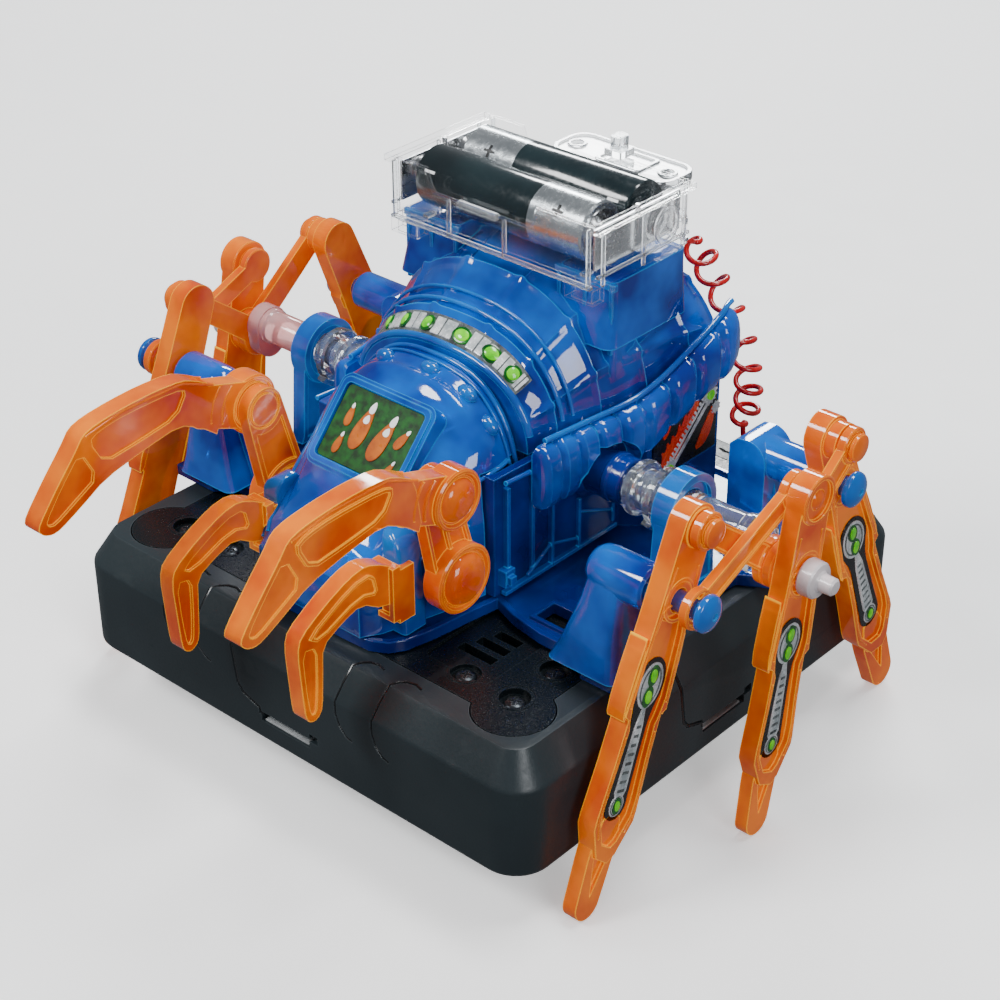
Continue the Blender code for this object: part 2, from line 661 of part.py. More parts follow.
def drive_link(small_end, layer):
    """Link from a leg's top stud to the crank pin; its big end clears the pin all round."""
    bar = prism(hull_of_discs(((small_end, 3.0), (CRANK_PIN, 3.0))), layer[0], layer[1])
    join(bar, disc(small_end, 4.3, layer[0], layer[1]), disc(CRANK_PIN, 5.6, layer[0], layer[1]))
    return cut(bar, disc(small_end, STUD_RADIUS + 0.3, 70, 90, "X", 16),
               disc(CRANK_PIN, OPEN_HOLE, 70, 90))


def rocker_link():
    """Link from the front post to the middle leg's top, ending in a stud that sits in that leg's cup."""
    pivot = (-LEG_PIVOT_Y, LEG_PIVOT_Z)
    end = top_of(CRANK_PIN, MID_LEAN, MID_TOP)
    bar = prism(hull_of_discs(((pivot, 2.4), (end, 2.4))), OUTER_LINK[0], OUTER_LINK[1])
    join(bar, disc(pivot, 4.6, OUTER_LINK[0], OUTER_LINK[1]))
    join(bar, disc(end, 4.4, OUTER_LINK[0], OUTER_LINK[1]))
    join(bar, disc(end, 1.2, OUTER_LINK[1] - 0.5, MID_LAYER[0] + 2.2, "X", 16))
    return cut(bar, disc(pivot, LEG_PIN_RADIUS + 0.3, 70, 90))


def make_links():
    front_top = top_of((-LEG_PIVOT_Y, LEG_PIVOT_Z), LEG_TILT, LEG_TOP)
    rear_top = top_of((LEG_PIVOT_Y, LEG_PIVOT_Z), -LEG_TILT, LEG_TOP)
    pair(drive_link(front_top, INNER_LINK), "front_link", ORANGE, origin=(INNER_LINK[0], *front_top))
    pair(drive_link(rear_top, OUTER_LINK), "rear_link", ORANGE, origin=(OUTER_LINK[0], *rear_top))
    pair(rocker_link(), "rocker_link", ORANGE, origin=(OUTER_LINK[0], -LEG_PIVOT_Y, LEG_PIVOT_Z))


# ---------------------------------------------------------------- crank and drive train

def gear(axis, radius, layer, teeth, hub_radius, bore):
    """Spur gear outline with trapezoid teeth."""
    root = radius - 1.2
    points = []
    for tooth in range(teeth):
        for fraction, reach in ((0.0, root), (0.22, root), (0.32, radius), (0.68, radius), (0.78, root)):
            angle = 2 * math.pi * (tooth + fraction) / teeth
            points.append((axis[0] + reach * math.cos(angle), axis[1] + reach * math.sin(angle)))
    wheel = prism(points, layer[0], layer[1])
    if hub_radius:
        join(wheel, disc(axis, hub_radius, layer[0] - 1, layer[1] + 1, "X", 16))
    if bore:
        cut(wheel, disc(axis, bore, layer[0] - 3, layer[1] + 3))
    return wheel


def make_crank():
    origin = (0, *CRANK)
    shaft = disc(CRANK, SHAFT_RADIUS, -58.6, 58.6)
    name_part(shaft, "crank_shaft", CLEAR, 0.08, origin=origin)
    wheel = gear(CRANK, CRANK_GEAR, COARSE_LAYER, CRANK_TEETH, 5.5, SHAFT_RADIUS + 0.15)
    name_part(wheel, "crank_gear", WHITE, 0.35, origin=origin)
    arm = disc(CRANK, 4.3, 58.9, 74.6)
    web = prism(hull_of_discs(((CRANK, 5.0), (CRANK_PIN, 4.6))), 74.4, 78.0)
    join(arm, web, disc(CRANK_PIN, CRANK_PIN_RADIUS, 77, PIN_END, "X", 16))
    pair(arm, "crank_arm", CLEAR, 0.08, origin=(74.4, *CRANK))
    cap = join(disc(CRANK_PIN, 4.2, 88.9, 91.2), disc(CRANK_PIN, 2.9, 91, 93.6))
    cut(cap, disc(CRANK_PIN, CRANK_PIN_RADIUS + 0.15, 88, 95, "X", 16))
    pair(cap, "crank_pin_cap", WHITE, 0.25, origin=(89, *CRANK))


def make_drive():
    body = disc(MOTOR_AXIS, MOTOR_RADIUS, -17, 8)
    join(body, disc(MOTOR_AXIS, 3.0, 7.5, 9.4, "X", 16))
    flat_y = (MOTOR_AXIS[0] - 12, MOTOR_AXIS[0] + 12)
    cut(body, box((-18, 9.5), flat_y, (MOTOR_AXIS[1] + 7.6, MOTOR_AXIS[1] + 12)))
    name_part(body, "motor", SILVER, 0.3, 0.9)
    cradle = box((-15, 6), (MOTOR_AXIS[0] - 8, MOTOR_AXIS[0] + 8), (SHELL_FLOOR, MOTOR_AXIS[1] - 4))
    cut(cradle, disc(MOTOR_AXIS, MOTOR_RADIUS + GAP, -20, 10))
    name_part(cradle, "motor_cradle", BLUE)
    pinion = gear(MOTOR_AXIS, PINION_RADIUS, FINE_LAYER, PINION_TEETH, 0, 0)
    name_part(pinion, "motor_pinion", WHITE, 0.35, origin=(FINE_LAYER[0], *MOTOR_AXIS))
    idler = gear(IDLER_AXIS, IDLER_WHEEL, FINE_LAYER, IDLER_TEETH, 0, 0)
    join(idler, gear(IDLER_AXIS, IDLER_PINION, (FINE_LAYER[1] - 0.5, COARSE_LAYER[1]), PINION_TEETH, 0, 0))
    name_part(idler, "reduction_gear", WHITE, 0.35, origin=(FINE_LAYER[0], *IDLER_AXIS))


# ---------------------------------------------------------------- arms

def make_big_arms():
    link = prism(hull_of_discs(((SHOULDER, 6.2), (ELBOW, 5.2))), ARM_X, ARM_X + 3.2)
    join(link, disc(SHOULDER, 8.2, ARM_X, ARM_X + 5.4), cone(SHOULDER, 8.2, 4.6, ARM_X + 5.4, ARM_X + 7.4))
    join(link, disc(ELBOW, 1.9, ARM_X + 2, ARM_X + 7.2, "X", 16))
    cut(link, disc(SHOULDER, 2.2, ARM_X - 1, ARM_X + 5.4, "X", 16))
    pair(link, "shoulder_link", ORANGE, origin=(ARM_X, *SHOULDER))
    inner = ARM_X + 3.6
    arm = prism(FOREARM_OUTLINE, inner, inner + 5.4)
    root = prism(hull_of_discs(((ELBOW, 5.6), ((-62.0, 75.4), 5.0))), inner, inner + 5.4)
    join(arm, root, disc(ELBOW, 7.0, inner, inner + 5.8), cone(ELBOW, 7.0, 4.0, inner + 5.8, inner + 7.2))
    cut(arm, disc(ELBOW, 2.2, inner - 1, inner + 4, "X", 16))
    pair(arm, "forearm", ORANGE, origin=(inner, *ELBOW))


def make_small_arms():
    arm = prism(FANG_OUTLINE, *FANG_X)
    root = box((FANG_X[0] - 1.0, FANG_X[1] + 0.5), (-57.0, -50.5), (38.0, 51.5))
    join(arm, root)
    cut(arm, body_loft(HEAD_SECTIONS, HEAD_MIDDLE, HEAD_POWER, HEAD_DEPTH, -2 * GAP))
    pair(arm, "small_arm", ORANGE)


# ---------------------------------------------------------------- batteries, tray, switch, wire

def cell(y, toward):
    """One AA cell whose positive end points along toward (+1 or -1) in X."""
    body = disc((y, CELL_Z), CELL_RADIUS, -CELL_LENGTH / 2, CELL_LENGTH / 2, "X", 32)
    ends = sorted((toward * (CELL_LENGTH / 2 - 0.5), toward * (CELL_LENGTH / 2 + 1.0)))
    return join(body, disc((y, CELL_Z), NUB_RADIUS, ends[0], ends[1], "X", 16))


def contact(side):
    """Sheet-metal contact with a boss against each cell end."""
    x = sorted((side * 28.2, side * 28.8))
    plate = box(x, (TRAY_Y[0] + 2, TRAY_Y[1] - 2), (103.0, 113.0))
    for y in CELL_Y:
        reach = sorted((side * (CELL_LENGTH / 2 + 1.3), side * 28.4))
        radii = (2.6, 4.2) if side > 0 else (4.2, 2.6)
        join(plate, cone((y, CELL_Z), radii[0], radii[1], reach[0], reach[1], "X", 16))
    return plate


def make_tray():
    tray = box((-TRAY_X, TRAY_X), TRAY_Y, (TRAY_FLOOR, TRAY_RIM))
    inside = box((-TRAY_X + TRAY_WALL, TRAY_X - TRAY_WALL), (TRAY_Y[0] + TRAY_WALL, TRAY_Y[1] - TRAY_WALL),
                 (TRAY_FLOOR + 1.2, TRAY_RIM + 1))
    cut(tray, inside)
    for y in TRAY_Y:
        cut(tray, box((-18, 13), (y - 2, y + 2), (TRAY_LOW_RIM, TRAY_RIM + 1)))
    for y, z, radius in ((24.0, 107.0, 3.4), (5.0, 110.5, 1.1), (28.0, 112.0, 1.1)):
        cut(tray, disc((y, z), radius, TRAY_X - 3, TRAY_X + 3, "X", 16))
    rim_x = TRAY_X + TRAY_FLANGE
    for side in (-1, 1):
        x = sorted((side * (TRAY_X - 0.6), side * rim_x))
        join(tray, box(x, TRAY_Y, (TRAY_RIM - 1.6, TRAY_RIM)))
        foot_x = sorted((side * 22.0, side * TRAY_X))
        join(tray, box(foot_x, (TRAY_Y[0], TRAY_Y[0] + 4), (TRAY_FOOT_BOTTOM, TRAY_FLOOR + 0.3)))
    middle = sum(CELL_Y) / 2
    join(tray, box((-22, 22), (middle - 0.4, middle + 0.4), (TRAY_FLOOR + 0.6, DIVIDER_TOP)))
    name_part(tray, "battery_tray", CLEAR, 0.08)


def make_power():
    make_tray()
    name_part(cell(CELL_Y[0], 1), "battery_near", BLACK, 0.25, 0.3)
    name_part(cell(CELL_Y[1], -1), "battery_far", BLACK, 0.25, 0.3)
    name_part(contact(-1), "contact_left", SILVER, 0.25, 1.0)
    name_part(contact(1), "contact_right", SILVER, 0.25, 1.0)
    x0, x1, y0, y1 = SWITCH_PLATE
    middle = ((x0 + x1) / 2, (y0 + y1) / 2)
    plate = prism(rounded_rectangle((x1 - x0) / 2, (y1 - y0) / 2, 4.5, 4, middle), *SWITCH_PLATE_Z, "Z")
    join(plate, box((x0 + 6, x1 - 6), (y0, y0 + 2), (101.0, 109.0)))
    name_part(plate, "switch_housing", CLEAR, 0.08)
    kx, ky = KNOB_CENTRE
    knob = join(box((kx - 2.6, kx + 2.6), (ky - 2.6, ky + 2.6), (110.9, 112.6)),
                box((kx - 1.5, kx + 1.5), (ky - 1.8, ky + 1.8), (112, 115.6)))
    name_part(knob, "switch_knob", CLEAR, 0.15, origin=(kx, ky, 111))


def smooth_path(fraction):
    """Point on a Catmull-Rom curve through COIL_PATH."""
    points = [Vector(point) for point in COIL_PATH]
    spans = len(points) - 1
    place = min(fraction * spans, spans - 1e-6)
    index = int(place)
    t = place - index
    before = points[max(index - 1, 0)]
    start = points[index]
    end = points[index + 1]
    after = points[min(index + 2, spans)]
    return 0.5 * (2 * start + (end - before) * t + (2 * before - 5 * start + 4 * end - after) * t * t
                  + (3 * start - before - 3 * end + after) * t * t * t)


def coil_points():
    points = [Vector((29.5, 34.5, 99.0))]
    steps = COIL_TURNS * 11
    for index in range(steps + 1):
        fraction = index / steps
        centre = smooth_path(fraction)
        along = (smooth_path(min(fraction + 0.01, 1)) - smooth_path(max(fraction - 0.01, 0))).normalized()
        side = along.cross(Vector((0, 0, 1))).normalized()
        up = side.cross(along)
        ease = min(1.0, fraction * COIL_TURNS * 2, (1 - fraction) * COIL_TURNS * 2)
        angle = 2 * math.pi * COIL_TURNS * fraction
        points.append(centre + COIL_RADIUS * ease * (side * math.cos(angle) + up * math.sin(angle)))
    return points + [Vector((31.5, 57.0, 37.0)), Vector((31.8, 56.0, 30.6))]


def make_wire():
    path = coil_points()
    rings = []
    normal = Vector((0, 0, 1))
    for index, point in enumerate(path):
        after = path[min(index + 1, len(path) - 1)]
        before = path[max(index - 1, 0)]
        along = (after - before).normalized()
        normal = (normal - along * normal.dot(along)).normalized()
        other = along.cross(normal)
        ring = []
        for step in range(6):
            angle = 2 * math.pi * step / 6
            ring.append(point + WIRE_RADIUS * (normal * math.cos(angle) + other * math.sin(angle)))
        rings.append(ring)
    name_part(loft(rings), "coil_wire", RED, 0.3)


def main():
    clear_scene()
    make_base_shell()
    make_base_cover()
    make_chassis_deck()
    make_posts()
    make_abdomen()
    make_gearbox()
    make_head()
    make_neck_label()
    make_flank_bands()
    make_outer_legs()
    make_mid_legs()
    make_links()
    make_crank()
    make_drive()
    make_big_arms()
    make_small_arms()
    make_power()
    make_wire()


main()
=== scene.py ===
"""Looks of the six-legged spider robot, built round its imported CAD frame.

Lengths in this script are millimetres; MM turns them into metres when a mesh is made.
The spider faces -Y, its right side is +X, and the base's underside is at Z = 0.
"""

import math

import bmesh
import bpy
from mathutils import Matrix, Vector


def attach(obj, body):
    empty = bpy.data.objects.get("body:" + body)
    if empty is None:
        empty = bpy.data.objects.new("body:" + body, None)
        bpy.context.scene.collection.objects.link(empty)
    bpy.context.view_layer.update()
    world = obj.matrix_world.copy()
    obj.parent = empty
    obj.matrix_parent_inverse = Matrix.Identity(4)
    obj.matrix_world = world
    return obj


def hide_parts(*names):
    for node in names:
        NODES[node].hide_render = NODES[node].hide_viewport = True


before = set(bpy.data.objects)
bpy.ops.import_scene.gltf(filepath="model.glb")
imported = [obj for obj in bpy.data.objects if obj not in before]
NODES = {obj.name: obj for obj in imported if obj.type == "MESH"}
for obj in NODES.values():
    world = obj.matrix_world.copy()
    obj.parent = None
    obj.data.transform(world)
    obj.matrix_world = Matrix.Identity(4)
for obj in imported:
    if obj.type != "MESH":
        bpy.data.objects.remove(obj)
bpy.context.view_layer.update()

MM = 0.001
SLIVERS = (0.05, 0.03, 0.015, 0.005)        # points closer than this are one point, widest tried first


# ---------------------------------------------------------------- mesh helpers

AXIS_FRAMES = {
    "X": Matrix(((0, 0, 1, 0), (1, 0, 0, 0), (0, 1, 0, 0), (0, 0, 0, 1))),
    "Y": Matrix(((0, 1, 0, 0), (0, 0, 1, 0), (1, 0, 0, 0), (0, 0, 0, 1))),
    "Z": Matrix.Identity(4),
}


def in_scene(name, data):
    """A new scene object that holds the given data."""
    item = bpy.data.objects.new(name, data)
    bpy.context.scene.collection.objects.link(item)
    return item


def from_bmesh(bm, name="shape"):
    mesh = bpy.data.meshes.new(name)
    bm.to_mesh(mesh)
    bm.free()
    return in_scene(name, mesh)


def to_object(bm):
    """Turn a bmesh in millimetres into a scene object in metres."""
    bmesh.ops.recalc_face_normals(bm, faces=bm.faces)
    bmesh.ops.transform(bm, matrix=Matrix.Scale(MM, 4), verts=bm.verts)
    return from_bmesh(bm)


def bake(item):
    """Replace an object's mesh with its modified mesh."""
    bpy.context.view_layer.update()
    result = item.evaluated_get(bpy.context.evaluated_depsgraph_get())
    mesh = bpy.data.meshes.new_from_object(result)
    item.modifiers.clear()
    item.data = mesh
    return item


def without_slivers(item):
    """Merge close points and needle faces that Booleans leave, as far as the skin stays closed."""
    for reach in SLIVERS:
        bm = bmesh.new()
        bm.from_mesh(item.data)
        bmesh.ops.remove_doubles(bm, verts=bm.verts, dist=reach * MM)
        bmesh.ops.dissolve_limit(bm, angle_limit=math.radians(0.3), verts=bm.verts, edges=bm.edges)
        bmesh.ops.dissolve_degenerate(bm, edges=bm.edges, dist=reach * MM)
        bmesh.ops.delete(bm, geom=[edge for edge in bm.edges if not edge.link_faces], context="EDGES")
        bmesh.ops.delete(bm, geom=[point for point in bm.verts if not point.link_faces], context="VERTS")
        closed = all(edge.is_manifold for edge in bm.edges)
        if closed:
            bm.to_mesh(item.data)
        bm.free()
        if closed:
            break
    item["combined"] = False


def combine(base, tool, operation):
    change = base.modifiers.new("combine", "BOOLEAN")
    change.operation = operation
    change.solver = "EXACT"
    change.object = tool
    bake(base)
    bpy.data.objects.remove(tool, do_unlink=True)
    base["combined"] = True
    return base


def join(base, *tools):
    for tool in tools:
        combine(base, tool, "UNION")
    return base


def cut(base, *tools):
    for tool in tools:
        combine(base, tool, "DIFFERENCE")
    return base


def gather(*items):
    """Put several separate closed shapes into one object, with no Boolean."""
    bm = bmesh.new()
    for item in items:
        bm.from_mesh(item.data)
        bpy.data.objects.remove(item, do_unlink=True)
    return from_bmesh(bm)


def mirrored(item):
    mesh = item.data.copy()
    mesh.transform(Matrix.Diagonal((-1.0, 1.0, 1.0, 1.0)))
    mesh.flip_normals()
    twin = in_scene("shape", mesh)
    twin["combined"] = item.get("combined", False)
    return twin


def both_halves(*items):
    """Right-hand shapes and their mirror images as one object."""
    right = gather(*items)
    return gather(right, mirrored(right))


def flat_points(axis, point):
    if axis == "Y":
        return point[1], point[0]
    return point[0], point[1]


def prism(outline, low, high, axis="X", matrix=None):
    bm = bmesh.new()
    ring = [bm.verts.new((*flat_points(axis, point), low)) for point in outline]
    made = bmesh.ops.extrude_face_region(bm, geom=[bm.faces.new(ring)])
    moved = [item for item in made["geom"] if isinstance(item, bmesh.types.BMVert)]
    bmesh.ops.translate(bm, vec=(0, 0, high - low), verts=moved)
    bmesh.ops.transform(bm, matrix=matrix or AXIS_FRAMES[axis], verts=bm.verts)
    return to_object(bm)


def arc(centre, radius, start, end, steps):
    points = []
    for index in range(steps + 1):
        angle = math.radians(start + (end - start) * index / steps)
        points.append((centre[0] + radius * math.cos(angle), centre[1] + radius * math.sin(angle)))
    return points


def circle(centre, radius, segments=40):
    return arc(centre, radius, 0, 360 - 360 / segments, segments - 1)


def disc(centre, radius, low, high, axis="X", segments=40):
    return prism(circle(centre, radius, segments), low, high, axis)


def ring(centre, outer, inner, low, high, axis="X", segments=40):
    """A flat washer."""
    outside = disc(centre, outer, low, high, axis, segments)
    return cut(outside, disc(centre, inner, low - 1, high + 1, axis, segments))


def slab(outline, high, depth, width, matrix=None, axis="X"):
    """A rim of the given width that follows an outline, from high - depth up to high."""
    rim = prism(outline, high - depth, high, axis, matrix)
    return cut(rim, prism(inset_outline(outline, width), high - depth - 1, high + 1, axis, matrix))


def box(x, y, z):
    return prism(((x[0], y[0]), (x[1], y[0]), (x[1], y[1]), (x[0], y[1])), z[0], z[1], "Z")


def side_box(side, x, y, z):
    return box(sorted((side * x[0], side * x[1])), y, z)


def rounded_rectangle(half_x, half_y, radius, steps=6, centre=(0, 0)):
    points = []
    for quarter, (sx, sy) in enumerate(((1, 1), (-1, 1), (-1, -1), (1, -1))):
        corner = (centre[0] + sx * (half_x - radius), centre[1] + sy * (half_y - radius))
        points += arc(corner, radius, 90 * quarter, 90 * quarter + 90, steps)
    return points


def turned(profile, centre, axis="X", segments=40, squash=(1.0, 1.0)):
    """Revolve (radius, along) points about an axis through centre; the ends are closed on the axis."""
    bm = bmesh.new()
    rows = []
    for radius, along in profile:
        if radius < 1e-6:
            rows.append([bm.verts.new((0, 0, along))])
            continue
        row = []
        for index in range(segments):
            angle = 2 * math.pi * index / segments
            row.append(bm.verts.new((radius * squash[0] * math.cos(angle),
                                     radius * squash[1] * math.sin(angle), along)))
        rows.append(row)
    for lower, upper in zip(rows, rows[1:]):
        for index in range(segments):
            after = (index + 1) % segments
            corners = [lower[index % len(lower)], lower[after % len(lower)], upper[after % len(upper)],
                       upper[index % len(upper)]]
            unique = list(dict.fromkeys(corners))
            if len(unique) > 2:
                bm.faces.new(unique)
    if profile[0] == profile[-1]:
        bmesh.ops.remove_doubles(bm, verts=rows[0] + rows[-1], dist=1e-6)
    else:
        for row in (rows[0], rows[-1]):
            if len(row) > 1:
                bm.faces.new(row)
    place = AXIS_FRAMES[axis] @ Matrix.Translation((*flat_points(axis, centre), 0))
    bmesh.ops.transform(bm, matrix=place, verts=bm.verts)
    return to_object(bm)


def domed(centre, radius, low, rise, axis="X", steps=6, edge=0.5):
    """A button: a short upright edge with a domed top, from low upwards."""
    profile = [(0, low), (radius, low), (radius, low + edge)]
    for index in range(1, steps + 1):
        angle = math.pi / 2 * index / steps
        profile.append((radius * math.cos(angle), low + edge + (rise - edge) * math.sin(angle)))
    return turned(profile[:-1] + [(0, low + rise)], centre, axis)


def loft(rings):
    """Skin equal rings of 3-D points, with flat ends."""
    bm = bmesh.new()
    rows = [[bm.verts.new(point) for point in ring] for ring in rings]
    count = len(rows[0])
    for lower, upper in zip(rows, rows[1:]):
        for index in range(count):
            after = (index + 1) % count
            bm.faces.new((lower[index], lower[after], upper[after], upper[index]))
    bm.faces.new(reversed(rows[0]))
    bm.faces.new(rows[-1])
    return to_object(bm)


def tube(points, radius, segments=12):
    """A round bar along a path."""
    rings = []
    normal = Vector((0.13, 0.2, 1)).normalized()
    last = len(points) - 1
    for index, point in enumerate(points):
        along = (Vector(points[min(index + 1, last)]) - Vector(points[max(index - 1, 0)])).normalized()
        normal = (normal - along * normal.dot(along)).normalized()
        other = along.cross(normal)
        ring = []
        for step in range(segments):
            angle = 2 * math.pi * step / segments
            ring.append(Vector(point) + radius * (normal * math.cos(angle) + other * math.sin(angle)))
        rings.append(ring)
    return loft(rings)


def hull_of_discs(first, first_radius, second, second_radius, steps=12):
    dx = second[0] - first[0]
    dy = second[1] - first[1]
    length = math.hypot(dx, dy)
    heading = math.degrees(math.atan2(dy, dx))
    lean = math.degrees(math.acos((first_radius - second_radius) / length))
    outline = arc(second, second_radius, heading - lean, heading + lean, steps)
    return outline + arc(first, first_radius, heading + lean, heading + 360 - lean, steps)


def inset_outline(outline, distance):
    """Move each point of a counter-clockwise or clockwise outline inwards by distance."""
    count = len(outline)
    area = sum(outline[i][0] * outline[(i + 1) % count][1] - outline[(i + 1) % count][0] * outline[i][1]
               for i in range(count))
    turn = 1 if area > 0 else -1
    moved = []
    for index, point in enumerate(outline):
        before = Vector(outline[index - 1])
        here = Vector(point)
        after = Vector(outline[(index + 1) % count])
        first = (here - before).normalized()
        second = (after - here).normalized()
        normal = Vector((-(first.y + second.y), first.x + second.x))
        normal = normal.normalized() * turn
        edge_normal = Vector((-first.y, first.x)) * turn
        reach = distance / max(0.35, normal.dot(edge_normal))
        moved.append(tuple(here + normal * reach))
    return moved


def smoothed(outline, share=0.22):
    """Round an outline's corners: each side keeps its middle, without the given share at either end."""
    rounder = []
    for point, after in zip(outline, outline[1:] + outline[:1]):
        for near in (1 - share, share):
            rounder.append(tuple(a * near + b * (1 - near) for a, b in zip(point, after)))
    return rounder


def curve_point(before, start, end, after, t):
    """A smooth curve from start to end at t, given the points on either side of them."""
    return 0.5 * (2 * start + (end - before) * t + (2 * before - 5 * start + 4 * end - after) * t * t
                  + (3 * start - before - 3 * end + after) * t * t * t)


def finish_piece(item, name, material, body, slot, nodes=(), bevel=0.0, segments=2, angle=32):
    """Name a piece, give it its material and fillets, and hang it on its body."""
    if item.get("combined"):
        without_slivers(item)
    item.name = name
    item.data.name = name
    item.data.materials.clear()
    item.data.materials.append(material)
    item.data.shade_smooth()
    item.data.set_sharp_from_angle(angle=math.radians(angle))
    if bevel:
        fillet = item.modifiers.new("fillet", "BEVEL")
        fillet.width = bevel * MM
        fillet.segments = segments
        fillet.limit_method = "ANGLE"
        fillet.angle_limit = math.radians(angle)
        fillet.harden_normals = True
    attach(item, body)
    if nodes:
        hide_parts(*nodes)
    return item


def side_pair(item, name, material, body, slot, nodes=(), **look):
    """Finish a right-hand piece and its mirror image; body and nodes take the side in place of {}."""
    if item.get("combined"):
        without_slivers(item)
    for side, shape in (("right", item), ("left", mirrored(item))):
        replaced = [node.format(side) for node in nodes]
        finish_piece(shape, f"{name}_{side}", material, body.format(side), slot, replaced, **look)


# ---------------------------------------------------------------- materials

def noise_node(nodes, links, scale, detail, stretch=None):
    """A noise texture in the object's own metres."""
    source = nodes.new("ShaderNodeTexCoord").outputs["Object"]
    if stretch:
        mapping = nodes.new("ShaderNodeMapping")
        mapping.inputs["Scale"].default_value = stretch
        links.new(source, mapping.inputs["Vector"])
        source = mapping.outputs["Vector"]
    texture = nodes.new("ShaderNodeTexNoise")
    texture.inputs["Scale"].default_value = scale
    texture.inputs["Detail"].default_value = detail
    links.new(source, texture.inputs["Vector"])
    return texture.outputs["Fac"]


def ramp(nodes, links, source, stops):
    node = nodes.new("ShaderNodeValToRGB")
    for element, (place, colour) in zip(node.color_ramp.elements, stops):
        element.position = place
        element.color = (*colour, 1.0)
    links.new(source, node.inputs["Fac"])
    return node.outputs["Color"]


def span(nodes, links, source, low, high, to_low, to_high):
    node = nodes.new("ShaderNodeMapRange")
    for socket, value in zip(("From Min", "From Max", "To Min", "To Max"), (low, high, to_low, to_high)):
        node.inputs[socket].default_value = value
    links.new(source, node.inputs["Value"])
    return node.outputs["Result"]


def blend_colour(nodes, links, share, first, second):
    node = nodes.new("ShaderNodeMix")
    node.data_type = "RGBA"
    links.new(share, node.inputs[0])
    links.new(first, node.inputs[6])
    node.inputs[7].default_value = (*second, 1.0)
    return node.outputs[2]


def painted_edge_light_mask_of(nodes, links, reach):
    """The mask for painted edge highlights: 1 along sharp edges and 0 on open faces, from how far a
    rounded-off normal leans from the surface's own.
    """
    rounded = nodes.new("ShaderNodeBevel")
    rounded.samples = 6
    rounded.inputs["Radius"].default_value = reach
    lean = nodes.new("ShaderNodeVectorMath")
    lean.operation = "DOT_PRODUCT"
    links.new(rounded.outputs["Normal"], lean.inputs[0])
    links.new(nodes.new("ShaderNodeNewGeometry").outputs["Normal"], lean.inputs[1])
    return span(nodes, links, lean.outputs["Value"], 0.985, 0.80, 0.0, 1.0)


def finish_of(name, dark, light, roughness, clouds=45.0, grain=700.0, bump=0.05, edge=None, edge_share=0.8,
              painted_edge_reach=0.0006, transmission=0.0, ior=1.49, metallic=0.0, coat=0.0, scratches=0.0,
              stretch=None, glow=0.0, edge_glow=0.0, specular=0.5, see_through=0.0):
    """A surface with cloudy colour, painted highlights along its sharp edges (a darker rim on the face
    drops), fine grain, and hairline scratches.
    """
    material = bpy.data.materials.new(name)
    material.use_nodes = True
    nodes = material.node_tree.nodes
    links = material.node_tree.links
    surface = nodes["Principled BSDF"]
    cloud = noise_node(nodes, links, clouds, 3.0, stretch)
    colour = ramp(nodes, links, cloud, ((0.34, dark), (0.66, light)))
    # edge is the colour painted along sharp edges as a highlight (darker on the face drops); with see_through
    # the faces turn nearly clear while the painted edges stay nearly solid
    if edge:
        painted_edge_light = painted_edge_light_mask_of(nodes, links, painted_edge_reach)
        colour = blend_colour(nodes, links, span(nodes, links, painted_edge_light, 0.0, 1.0, 0.0, edge_share), colour,
                              edge)
        if see_through:
            links.new(span(nodes, links, painted_edge_light, 0.0, 1.0, 1.0 - see_through, 0.95), surface.inputs["Alpha"])
    links.new(colour, surface.inputs["Base Color"])
    fine = noise_node(nodes, links, grain, 5.0)
    rough = span(nodes, links, fine, 0.3, 0.7, roughness[0], roughness[1])
    if scratches:
        line = noise_node(nodes, links, 160.0, 2.0, (1.0, 0.06, 1.0))
        worn = span(nodes, links, line, 0.66, 0.70, 0.0, scratches)
        total = nodes.new("ShaderNodeMath")
        total.operation = "ADD"
        links.new(rough, total.inputs[0])
        links.new(worn, total.inputs[1])
        rough = total.outputs["Value"]
    links.new(rough, surface.inputs["Roughness"])
    relief = nodes.new("ShaderNodeBump")
    relief.inputs["Strength"].default_value = bump
    relief.inputs["Distance"].default_value = 0.0003
    links.new(fine, relief.inputs["Height"])
    links.new(relief.outputs["Normal"], surface.inputs["Normal"])
    for socket, value in (("Transmission Weight", transmission), ("IOR", ior),
                          ("Specular IOR Level", specular), ("Metallic", metallic), ("Coat Weight", coat),
                          ("Coat Roughness", 0.04)):
        surface.inputs[socket].default_value = value
    # glow and edge_glow make the surface give off light of its own colour, edge_glow more along the edges; on
    # the plastics and marks this is painted light
    if glow:
        links.new(colour, surface.inputs["Emission Color"])
        surface.inputs["Emission Strength"].default_value = glow
    if edge_glow:
        links.new(span(nodes, links, painted_edge_light, 0.0, 1.0, glow, edge_glow), surface.inputs["Emission Strength"])
    return material


# Painted highlights: the slate finishes are lighter along their sharp edges.
SLATE = finish_of("slate_satin", (0.013, 0.020, 0.024), (0.022, 0.032, 0.037), (0.30, 0.42), 25.0, 1500.0,
                  0.08, edge=(0.09, 0.11, 0.12), edge_share=0.4, scratches=0.10, specular=0.45)
SLATE_TOP = finish_of("slate_top", (0.001, 0.003, 0.004), (0.004, 0.007, 0.009), (0.22, 0.36), 25.0, 1500.0,
                      0.08, edge=(0.06, 0.08, 0.09), edge_share=0.2, scratches=0.12, specular=0.38)
